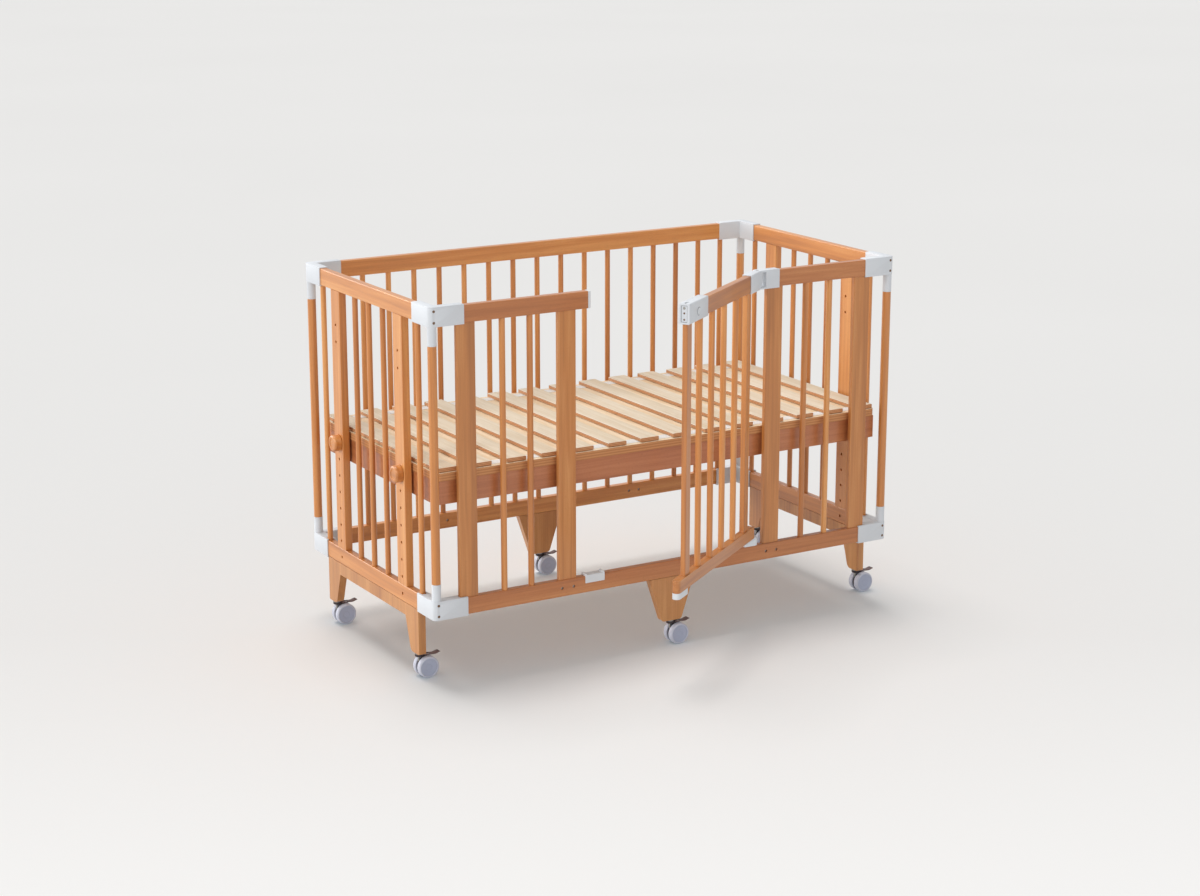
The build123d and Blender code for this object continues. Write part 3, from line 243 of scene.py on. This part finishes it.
# Steamed beech, planed, sanded and lacquered: one per grain direction, and darker ones as in the photo, of
# which the gate rails' copy is painted shade and the beams' darkness is partly painted shade
BEECH = ("#B06C34", "#CB8341", "#DD9C59")
beech = {axis: lacquered_wood(f"steamed_beech_lacquered_{axis.lower()}", axis, *BEECH) for axis in "XYZ"}
# Gate rails: a darker copy of the beech, painted shade for the gate's faces that turn away from the key lamp
beech_gate_painted_shade = lacquered_wood(
    "steamed_beech_gate_rails_painted_shade", "X", "#9C5A2B", "#B87338", "#C98A4C", turn=GATE_TURN)
beech_stiles = lacquered_wood("steamed_beech_stiles", "Z", "#A86831", "#C07B3D", "#D19254")
beech_heart = lacquered_wood("steamed_beech_heartwood", "X", "#9C5A2B", "#B56E38", "#C6834B")
beech_legs = lacquered_wood("steamed_beech_lacquered_legs", "Z", "#A66732", "#BC7E42", "#CD9257")
# Base beams: a redder beech of their own, also darker, the darkness partly painted shade of the recess under
# the board's edge
beam_wood_partly_painted_shade = lacquered_wood("reddish_beech_beams_partly_painted_shade", "X", "#9A5830", "#B56E42", "#C37F52", fleck=1.4)
# Rotary-cut plywood with sanded faces and sawn edges
slat_ply = plywood("birch_plywood_slats", "#DDD1BE", "#CBB99C", "#D9A273", "#A4693F", 1.6)
board_ply = plywood("birch_plywood_board", "#EBD9BE", "#D9BE98", "#C88D5A", "#B67A4A", 3.0)
# Polyester tape, woven
tape_weave = woven_tape("white_woven_tape", "#F3F2EF", "#D5D4D0")
# Nylon and polyurethane, injection-moulded
white_nylon = moulded("white_nylon_moulded", "#D6D9DD", "#CED2D7", 0.46)
white_trim = moulded("white_nylon_trim", "#DDE0E3", "#D4D8DC", 0.40)
wheel_tread = moulded("lavender_grey_polyurethane_tread", "#C6C8D4", "#BBBDCA", 0.46)
wheel_disc = moulded("lavender_grey_nylon_disc", "#B0B5C8", "#A6ABBE", 0.50)
caster_dark = moulded("brown_grey_nylon_housing", "#4C4244", "#3E3638", 0.48)
pedal_brown = moulded("brown_grey_nylon_pedal", "#7C6866", "#6B5957", 0.44)
# Dark grey for the rings of painted shade that stand in the latch's seams
painted_seam_shade_grey = moulded("painted_gap_shade_grey", "#7E8286", "#74787C", 0.60)
# Steel, zinc-plated and then passivated clear or bronze
zinc = zinc_plated("zinc_plated_steel", "#B9B7B2", "#8C8983")
bronzed = zinc_plated("bronze_passivated_screws", "#8A6F5A", "#5E4839")

for finish, names in (
        (beech["X"], ("back_rails",)),
        (beech["Y"], ("end_rails",) + tuple(name for name in nodes if name.endswith("_knob"))),
        (beech["Z"], ("corner_posts", "back_spindles", "end_spindles", "front_spindles", "height_posts",
                      "gate_stiles", "gate_spindles")),
        (beech_heart, ("front_rails",)),
        (beech_stiles, ("front_stiles",)),
        (beech_legs, ("end_leg_frames", "middle_legs")),
        (beech_gate_painted_shade, ("gate_top_rail", "gate_bottom_rail")),
        (white_trim, ("strike_cap", "strike_saddle", "lower_hinge_block", "gate_pivot_plate", "gate_catch",
                      "latch_button", "latch_thumb")),
        (zinc, ("hinge_pins", "knob_studs", "caster_stems", "latch_bolt", "frame_bolts")),
        (bronzed, ("corner_screws", "latch_screws")),
        (board_ply, ("base_board",)),
        (beam_wood_partly_painted_shade, ("base_beams",)),
        (tape_weave, ("slat_tapes",))):
    for name in names:
        nodes[name].data.materials[0] = finish


# Pieces that stand for CAD nodes with softer edges and finer detail

def show(name, mesh_or_bm, material, body, replaced=()):
    """Links a finished mesh as a piece of the object, riding on a body."""
    if isinstance(mesh_or_bm, bmesh.types.BMesh):
        mesh = bpy.data.meshes.new(name)
        mesh_or_bm.to_mesh(mesh)
        mesh_or_bm.free()
    else:
        mesh = mesh_or_bm
    mesh.materials.clear()
    mesh.materials.append(material)
    mesh.shade_smooth()
    mesh.set_sharp_from_angle(angle=radians(35))
    piece = bpy.data.objects.new(name, mesh)
    bpy.context.scene.collection.objects.link(piece)
    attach(piece, body)
    if replaced:
        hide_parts(*replaced)


def softened(node, name, width, material, body):
    """A copy of a CAD node, its triangles joined into flat faces, with every outer edge rounded over."""
    bm = bmesh.new()
    bm.from_mesh(nodes[node].data)
    bmesh.ops.remove_doubles(bm, verts=bm.verts, dist=0.00002)
    bmesh.ops.dissolve_limit(bm, angle_limit=radians(1.5), verts=bm.verts, edges=bm.edges)
    mesh = bpy.data.meshes.new(name)
    bm.to_mesh(mesh)
    bm.free()
    source = bpy.data.objects.new(name + "_source", mesh)
    bpy.context.scene.collection.objects.link(source)
    bevel = source.modifiers.new("edge", "BEVEL")
    bevel.width = width * MM
    bevel.segments = 2
    bevel.limit_method = "ANGLE"
    bevel.angle_limit = radians(32)
    bevel.use_clamp_overlap = True
    ready = bpy.data.meshes.new_from_object(source.evaluated_get(bpy.context.evaluated_depsgraph_get()))
    bpy.data.objects.remove(source)
    show(name, ready, material, body, (node,))


for node, piece_name, width, body in (
        ("top_corner_brackets", "moulded_top_corners", 0.9, "frame"),
        ("bottom_corner_brackets", "moulded_bottom_corners", 0.9, "frame"),
        ("upper_hinge_bracket", "moulded_hinge_bracket", 0.9, "frame"),
        ("gate_hinge_sleeve", "moulded_gate_sleeve", 0.9, "gate"),
        ("latch_housing", "moulded_latch_housing", 0.5, "gate")):
    softened(node, piece_name, width, white_nylon, body)


def lathe(bm, profile, centre, axis, steps):
    """Turns a closed (radius, height) profile, in millimetres, round an axis through the centre."""
    axis = Vector(axis).normalized()
    side = axis.orthogonal().normalized()
    other = axis.cross(side)
    middle = Vector(centre)
    rings = []
    for radius, height in profile:
        if radius < 1e-6:
            rings.append([bm.verts.new((middle + axis * height) * MM)])
            continue
        ring = []
        for step in range(steps):
            turn = 2 * pi * step / steps
            out = side * cos(turn) + other * sin(turn)
            ring.append(bm.verts.new((middle + axis * height + out * radius) * MM))
        rings.append(ring)
    for low, high in zip(rings, rings[1:] + rings[:1]):
        if len(low) == 1 and len(high) == 1:
            continue
        for step in range(steps):
            after = (step + 1) % steps
            if len(low) == 1:
                bm.faces.new((low[0], high[step], high[after]))
            elif len(high) == 1:
                bm.faces.new((low[step], high[0], low[after]))
            else:
                bm.faces.new((low[step], high[step], high[after], low[after]))
    bmesh.ops.recalc_face_normals(bm, faces=bm.faces)


def arc(radius_middle, height_middle, size, start, stop, count):
    """Profile points on a round, its angles in degrees from outward radius towards height."""
    points = []
    for step in range(count + 1):
        angle = radians(start + (stop - start) * step / count)
        points.append((radius_middle + size * cos(angle), height_middle + size * sin(angle)))
    return points


# Collar rings where the corner posts enter their sockets
COLLAR_R, COLLAR_ROUND, COLLAR_H = 10.2, 0.55, 2.0
top_socket_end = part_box("top_corner_brackets")[0].z / MM
bottom_socket_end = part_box("bottom_corner_brackets")[1].z / MM
rings = bmesh.new()
for x in (-HALF_X, HALF_X):
    for y in (-HALF_Y, HALF_Y):
        for z in (top_socket_end + 0.1, bottom_socket_end - 2.1, bottom_socket_end - 8.0):
            outer = arc(COLLAR_R + 0.05, z + COLLAR_H / 2, COLLAR_ROUND, -90, 90, 4)
            lathe(rings, [(COLLAR_R, z), *outer, (COLLAR_R, z + COLLAR_H)], (x, y, 0), (0, 0, 1), 40)
show("socket_collars", rings, white_nylon, "frame")


# Latch housing: dark grey rings of painted shade in the seam round the end plate and in the seam round the push
# button
def gate_point(along, outward, z):
    """A place on the open gate, in mm: along it from the hinge, out from its middle plane, and height."""
    return Vector((PIVOT_X - along * cos(GATE_TURN) + outward * sin(GATE_TURN),
                   -HALF_Y - along * sin(GATE_TURN) - outward * cos(GATE_TURN), z))


SEAM_W, SEAM_LOW, SEAM_HIGH = 0.9, PLATE_FLOOR + 0.05, PLATE_FLOOR + 0.35
BUTTON_SEAM = ((8.3, 12.9), (8.3, 13.15), (9.1, 13.15), (9.1, 12.9))
housing_low, housing_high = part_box("latch_housing")
plate_middle_z = (housing_low.z + housing_high.z) / 2 / MM
painted_seam_shade = bmesh.new()
loops = []
for inset, along in ((0.0, SEAM_LOW), (0.0, SEAM_HIGH), (SEAM_W, SEAM_HIGH), (SEAM_W, SEAM_LOW)):
    loop = []
    for corner, (side, up) in enumerate(((1, 1), (-1, 1), (-1, -1), (1, -1))):
        radius = PLATE_CORNER_R - inset
        for step in range(5):
            angle = radians(90 * corner + 22.5 * step)
            out = side * (PLATE_HALF_W - PLATE_CORNER_R) + radius * cos(angle)
            high = plate_middle_z + up * (PLATE_HALF_H - PLATE_CORNER_R) + radius * sin(angle)
            loop.append(painted_seam_shade.verts.new(gate_point(along, out, high) * MM))
    loops.append(loop)
for low_loop, high_loop in zip(loops, loops[1:] + loops[:1]):
    for step in range(len(low_loop)):
        after = (step + 1) % len(low_loop)
        painted_seam_shade.faces.new((low_loop[step], high_loop[step], high_loop[after], low_loop[after]))
bmesh.ops.recalc_face_normals(painted_seam_shade, faces=painted_seam_shade.faces)
facing_out = gate_point(0.0, 1.0, 0.0) - gate_point(0.0, 0.0, 0.0)
lathe(painted_seam_shade, BUTTON_SEAM, gate_point(BUTTON_ALONG, 0.0, BUTTON_Z), facing_out, 48)
show("latch_painted_seam_shade", painted_seam_shade, painted_seam_shade_grey, "gate")


# Wheels: a polyurethane tread moulded round a flat nylon disc, with a hub cap and a dust ring
# (radius, distance from the wheel pair's middle), in millimetres
TREAD_PROFILE = [
    (DISC_R, WHEEL_INNER_FACE + 0.6), (22.6, WHEEL_INNER_FACE),
    *arc(23.2, WHEEL_INNER_FACE + 1.8, 1.8, -90, 0, 4),
    *arc(21.0, WHEEL_OUTER_FACE - 4.0, 4.0, 0, 82, 7),
    (20.7, WHEEL_OUTER_FACE - 0.5), (DISC_R, WHEEL_OUTER_FACE - 1.2)]
DISC_PROFILE = [
    (0.0, WHEEL_INNER_FACE), (9.0, WHEEL_INNER_FACE), (9.8, WHEEL_INNER_FACE + 1.4),
    (18.0, WHEEL_INNER_FACE + 1.6), (DISC_R, WHEEL_INNER_FACE + 0.6),
    (DISC_R, WHEEL_OUTER_FACE - 1.5), (20.0, WHEEL_OUTER_FACE - 1.1), (7.4, WHEEL_OUTER_FACE - 0.75),
    (7.0, WHEEL_OUTER_FACE - 1.0), (6.6, WHEEL_OUTER_FACE - 0.75), (6.2, WHEEL_OUTER_FACE - 0.45),
    (0.0, WHEEL_OUTER_FACE - 0.3)]


def mirrored(profile, sign):
    """The profile as it is, or on the other wheel of the pair."""
    return [(radius, sign * height) for radius, height in profile]


def side_shape(bm, outline, half_width, centre_y, offset):
    """Extrudes an (x, z) outline across Y, in millimetres, with both sides closed."""
    near = [bm.verts.new(((x + offset) * MM, (centre_y - half_width) * MM, z * MM)) for x, z in outline]
    far = [bm.verts.new(((x + offset) * MM, (centre_y + half_width) * MM, z * MM)) for x, z in outline]
    count = len(outline)
    for step in range(count):
        after = (step + 1) % count
        bm.faces.new((near[step], near[after], far[after], far[step]))
    bm.faces.new(list(reversed(near)))
    bm.faces.new(far)
    bmesh.ops.recalc_face_normals(bm, faces=bm.faces)


def rounded_edges(bm, width, sharper_than):
    """Rounds every edge that bends more than an angle, in degrees."""
    edges = [e for e in bm.edges if len(e.link_faces) == 2 and e.calc_face_angle(0) > radians(sharper_than)]
    bmesh.ops.bevel(bm, geom=edges, offset=width * MM, segments=2, profile=0.5, affect="EDGES",
                    clamp_overlap=True)


def web_point(degrees):
    """A point on the round rim of the housing's web, its angle from the trailing side upwards."""
    return TRAIL + WEB_R * cos(radians(degrees)), WHEEL_R + WEB_R * sin(radians(degrees))


# The caster's housing and pedal: (x from the stem, z) for outlines, (radius, height) for turned shapes
web = [web_point(-20 + 220 * step / 24) for step in range(25)]
HOUSING_OUTLINE = (
    [(-6.6, 49.5), (-7.6, 53.6), (-5.0, 55.5), (14.5, 55.5), (18.5, 52.5)]
    + sorted((p for p in web if p[0] > TRAIL and p[1] < WEB_TOP), key=lambda p: -p[1])
    + [web_point(degrees) for degrees in range(-30, -160, -10)]
    + sorted((p for p in web if p[0] < TRAIL and p[1] < WEB_TOP), key=lambda p: p[1]))
HEAD_PROFILE = [(0.0, 50.3), (7.6, 50.3), (8.7, 51.2), (8.9, 55.2), (8.5, 55.9), (0.0, 55.9)]
AXLE_COVER_PROFILE = [(0.0, -3.9), (3.4, -3.9), (4.0, -3.4), (4.0, 3.4), (3.4, 3.9), (0.0, 3.9)]
ARM_OUTLINE = [
    (11.6, 54.6), (13.6, 55.4), (20.0, 54.4), (28.5, 53.4), (28.5, 51.0), (24.0, 51.4), (16.0, 51.2),
    (12.4, 51.3)]
TOE_OUTLINE = [
    (27.6, 53.5), (31.0, 53.1), (36.0, 52.8), (40.5, 53.7), (44.0, 55.0), (49.4, 55.8), (51.2, 55.0),
    (51.0, 54.0), (46.5, 52.9), (42.0, 51.1), (38.6, 50.5), (33.0, 50.7), (27.6, 51.05)]
RIDGE_OUTLINE = [(45.2, 54.7), (49.2, 55.4), (49.0, 56.1), (45.4, 55.5)]
WEB_HALF_W, ARM_MIDDLE_Y, ARM_HALF_W, TOE_HALF_W, RIDGE_HALF_W = 3.5, 5.7, 1.4, 7.1, 0.6
RIDGES_Y = (-4.5, -1.5, 1.5, 4.5)

for place, (x, y) in CASTERS.items():
    hub = (x + TRAIL, y, WHEEL_R)
    tread = bmesh.new()
    disc = bmesh.new()
    for sign in (-1, 1):
        lathe(tread, mirrored(TREAD_PROFILE, sign), hub, (0, 1, 0), 72)
        lathe(disc, mirrored(DISC_PROFILE, sign), hub, (0, 1, 0), 72)
    show(f"{place}_wheel_treads", tread, wheel_tread, f"{place}_wheels")
    show(f"{place}_wheel_discs", disc, wheel_disc, f"{place}_wheels",
         (f"{place}_caster_wheels",))

    housing = bmesh.new()
    side_shape(housing, HOUSING_OUTLINE, WEB_HALF_W, y, x)
    rounded_edges(housing, 0.5, 50)
    lathe(housing, HEAD_PROFILE, (x, y, 0), (0, 0, 1), 40)
    lathe(housing, AXLE_COVER_PROFILE, hub, (0, 1, 0), 24)
    show(f"{place}_caster_housing", housing, caster_dark, f"{place}_swivel",
         (f"{place}_caster_body",))

    pedal = bmesh.new()
    for arm_y in (-ARM_MIDDLE_Y, ARM_MIDDLE_Y):
        side_shape(pedal, ARM_OUTLINE, ARM_HALF_W, y + arm_y, x)
    side_shape(pedal, TOE_OUTLINE, TOE_HALF_W, y, x)
    rounded_edges(pedal, 0.5, 40)
    for ridge_y in RIDGES_Y:
        side_shape(pedal, RIDGE_OUTLINE, RIDGE_HALF_W, y + ridge_y, x)
    show(f"{place}_pedal", pedal, pedal_brown, f"{place}_brake",
         (f"{place}_caster_brake",))


# Repeated pieces by Geometry Nodes
def repeated(name, build, sizes, material, body, replaced):
    """Runs one Geometry Nodes tree with its named sizes and keeps the result as a plain mesh."""
    tree = bpy.data.node_groups.new(name + "_tree", "GeometryNodeTree")
    for size in sizes:
        kind = "NodeSocketInt" if isinstance(sizes[size], int) else "NodeSocketFloat"
        tree.interface.new_socket(size, in_out="INPUT", socket_type=kind)
    tree.interface.new_socket("Geometry", in_out="OUTPUT", socket_type="NodeSocketGeometry")
    given = tree.nodes.new("NodeGroupInput")
    shape = build(tree, given)
    real = add_node(tree, "GeometryNodeRealizeInstances", {0: shape})
    finished = add_node(tree, "GeometryNodeSetMaterial", {0: real.outputs[0], "Material": material})
    add_node(tree, "NodeGroupOutput", {0: finished.outputs[0]})
    carrier = bpy.data.objects.new(name + "_carrier", bpy.data.meshes.new(name + "_carrier"))
    bpy.context.scene.collection.objects.link(carrier)
    modifier = carrier.modifiers.new("pieces", "NODES")
    modifier.node_group = tree
    for item in tree.interface.items_tree:
        if item.in_out == "INPUT":
            modifier[item.identifier] = sizes[item.name]
    carrier.update_tag()
    ready = bpy.data.meshes.new_from_object(carrier.evaluated_get(bpy.context.evaluated_depsgraph_get()))
    bpy.data.objects.remove(carrier)
    show(name, ready, material, body, replaced)


def slat_row(tree, given):
    """Flat slats in a row along X, each a rounded bar swept along Y."""
    half = add_node(tree, "ShaderNodeMath", {0: given.outputs["Half length"], 1: -1.0}, operation="MULTIPLY")
    start = add_node(tree, "ShaderNodeCombineXYZ", {1: half.outputs[0]})
    stop = add_node(tree, "ShaderNodeCombineXYZ", {1: given.outputs["Half length"]})
    path = add_node(tree, "GeometryNodeCurvePrimitiveLine",
                    {"Start": start.outputs[0], "End": stop.outputs[0]})
    bar = add_node(tree, "GeometryNodeCurvePrimitiveQuadrilateral",
                   {"Width": given.outputs["Width"], "Height": given.outputs["Thickness"]})
    eased = add_node(tree, "GeometryNodeFilletCurve", {
        "Curve": bar.outputs[0], "Radius": given.outputs["Edge"], "Limit Radius": True}, mode="POLY")
    slat = add_node(tree, "GeometryNodeCurveToMesh",
                    {"Curve": path.outputs[0], "Profile Curve": eased.outputs[0], "Fill Caps": True})
    first = add_node(tree, "ShaderNodeCombineXYZ",
                     {0: given.outputs["First"], 2: given.outputs["Middle height"]})
    step = add_node(tree, "ShaderNodeCombineXYZ", {0: given.outputs["Pitch"]})
    row = add_node(tree, "GeometryNodeMeshLine", {
        "Count": given.outputs["Count"], "Start Location": first.outputs[0], "Offset": step.outputs[0]})
    laid = add_node(tree, "GeometryNodeInstanceOnPoints",
                    {"Points": row.outputs[0], "Instance": slat.outputs[0]})
    return laid.outputs[0]


slat_low, slat_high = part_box("bed_slats")
repeated("plywood_slats", slat_row, {
    "Count": SLAT_COUNT, "Pitch": SLAT_PITCH_M, "First": -SLAT_PITCH_M * (SLAT_COUNT - 1) / 2,
    "Width": 0.048, "Thickness": 0.0095, "Edge": 0.0012,
    "Half length": SLAT_HALF_LENGTH_M, "Middle height": (slat_low.z + slat_high.z) / 2,
}, slat_ply, "frame", ("bed_slats",))


# Studio: a pale seamless floor with painted light that brightens it towards the camera, an even sky, and soft
# distant lamps
FLOOR_R = 80.0
AWAY_FROM_CAMERA = (0.514, 0.858, 0.0)
PAINTED_LIGHT_FROM, PAINTED_LIGHT_FULLEST_AT = -0.2, -1.7


def pale_floor():
    """Painted studio floor, matt, with painted light that brightens it towards the camera."""
    material, tree = new_material("pale_studio_floor")
    place = add_node(tree, "ShaderNodeTexCoord")
    drift = add_node(tree, "ShaderNodeTexNoise", {0: place.outputs["Object"], "Scale": 0.35, "Detail": 2.0})
    tint = add_node(tree, "ShaderNodeMix", {
        "Factor": drift.outputs[0], 6: linear("#E7E7E6"), 7: linear("#EBEBEA")}, data_type="RGBA")
    # Painted light: the floor's colour grows paler towards the camera, standing in for the lamps' falloff
    depth = add_node(tree, "ShaderNodeVectorMath", {0: place.outputs["Object"], 1: AWAY_FROM_CAMERA},
                     operation="DOT_PRODUCT")
    near = add_node(tree, "ShaderNodeMapRange", {0: depth.outputs[1], 1: PAINTED_LIGHT_FROM, 2: PAINTED_LIGHT_FULLEST_AT})
    painted_light_sweep = add_node(tree, "ShaderNodeMix", {
        "Factor": near.outputs[0], 6: tint.outputs[2], 7: linear("#F5F5F4")}, data_type="RGBA")
    close(tree, add_node(tree, "ShaderNodeBsdfPrincipled", {
        "Base Color": painted_light_sweep.outputs[2], "Roughness": 0.9, "Specular IOR Level": 0.1}))
    return material


floor_bm = bmesh.new()
bmesh.ops.create_circle(floor_bm, cap_ends=True, radius=FLOOR_R, segments=64)
floor_mesh = bpy.data.meshes.new("studio_floor")
floor_bm.to_mesh(floor_mesh)
floor_bm.free()
floor_mesh.materials.append(pale_floor())
studio_floor = bpy.data.objects.new("studio_floor", floor_mesh)
bpy.context.scene.collection.objects.link(studio_floor)
studio_floor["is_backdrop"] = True

world = bpy.data.worlds.new("studio")
world.use_nodes = True
bpy.context.scene.world = world
sky = world.node_tree
sky.nodes.clear()
# The sky lights with one strength, shows a little brighter in gloss, and is a plain backdrop to the camera
rays = add_node(sky, "ShaderNodeLightPath")
strength = add_node(sky, "ShaderNodeMath", {0: rays.outputs["Is Glossy Ray"], 1: 0.25, 2: 0.43},
                    operation="MULTIPLY_ADD")
lit = add_node(sky, "ShaderNodeBackground", {"Color": linear("#FFFFFF"), "Strength": strength.outputs[0]})
backdrop = add_node(sky, "ShaderNodeBackground", {"Color": linear("#E9E8E7"), "Strength": 1.0})
choice = add_node(sky, "ShaderNodeMixShader",
                  {0: rays.outputs["Is Camera Ray"], 1: lit.outputs[0], 2: backdrop.outputs[0]})
add_node(sky, "ShaderNodeOutputWorld", {"Surface": choice.outputs[0]})


# The lamps for the object skip the floor, and two lamps light the floor alone
off_the_floor = bpy.data.collections.new("off_the_floor")
off_the_floor.objects.link(studio_floor)
off_the_floor.collection_objects[0].light_linking.link_state = "EXCLUDE"
only_floor = bpy.data.collections.new("only_floor")
only_floor.objects.link(studio_floor)


def lamp(name, energy, towards, receivers, blockers=None, **settings):
    """A distant soft lamp whose light travels along one direction, and falls on some of the objects."""
    data = bpy.data.lights.new(name, "SUN")
    data.energy = energy
    for setting, value in settings.items():
        setattr(data, setting, value)
    holder = bpy.data.objects.new(name, data)
    holder.rotation_mode = "QUATERNION"
    holder.rotation_quaternion = Vector(towards).to_track_quat("-Z", "Y")
    bpy.context.scene.collection.objects.link(holder)
    holder.light_linking.receiver_collection = receivers
    if blockers:
        holder.light_linking.blocker_collection = blockers


lamp("left_key", 1.15, (0.95, 0.06, -0.34), off_the_floor, angle=radians(16))
lamp("front_fill", 0.70, (0.12, 0.95, -0.30), off_the_floor, angle=radians(70))
lamp("back_rim", 2.3, (0.50, -0.83, -0.09), off_the_floor, angle=radians(50))
lamp("overhead_softbox", 1.75, (0.02, -0.30, -0.95), off_the_floor, angle=radians(30))
lamp("floor_softbox", 1.49, (0.02, -0.24, -0.97), only_floor, angle=radians(30), color=(1.0, 0.93, 0.88))
lamp("floor_fill", 0.50, (0.0, 0.0, -1.0), only_floor, only_floor, angle=radians(30), color=(0.72, 0.88, 1.0))


# Camera at the photograph's viewpoint
HEADING, PITCH = radians(30.905), radians(14.56)
FOCAL_PX, FRAME_PX, SENSOR_MM = 2379.1, 1200, 36.0
camera_data = bpy.data.cameras.new("camera")
camera_data.sensor_width = SENSOR_MM
camera_data.lens = FOCAL_PX / FRAME_PX * SENSOR_MM
camera_data.clip_start = 0.1
camera_data.clip_end = 300.0
camera = bpy.data.objects.new("camera", camera_data)
camera.location = (-2.86096, -4.77264, 1.84920)
look = Vector((sin(HEADING) * cos(PITCH), cos(HEADING) * cos(PITCH), -sin(PITCH)))
camera.rotation_mode = "QUATERNION"
camera.rotation_quaternion = look.to_track_quat("-Z", "Y")
bpy.context.scene.collection.objects.link(camera)
bpy.context.scene.camera = camera

bpy.context.scene.view_settings.view_transform = "Standard"
low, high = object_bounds()
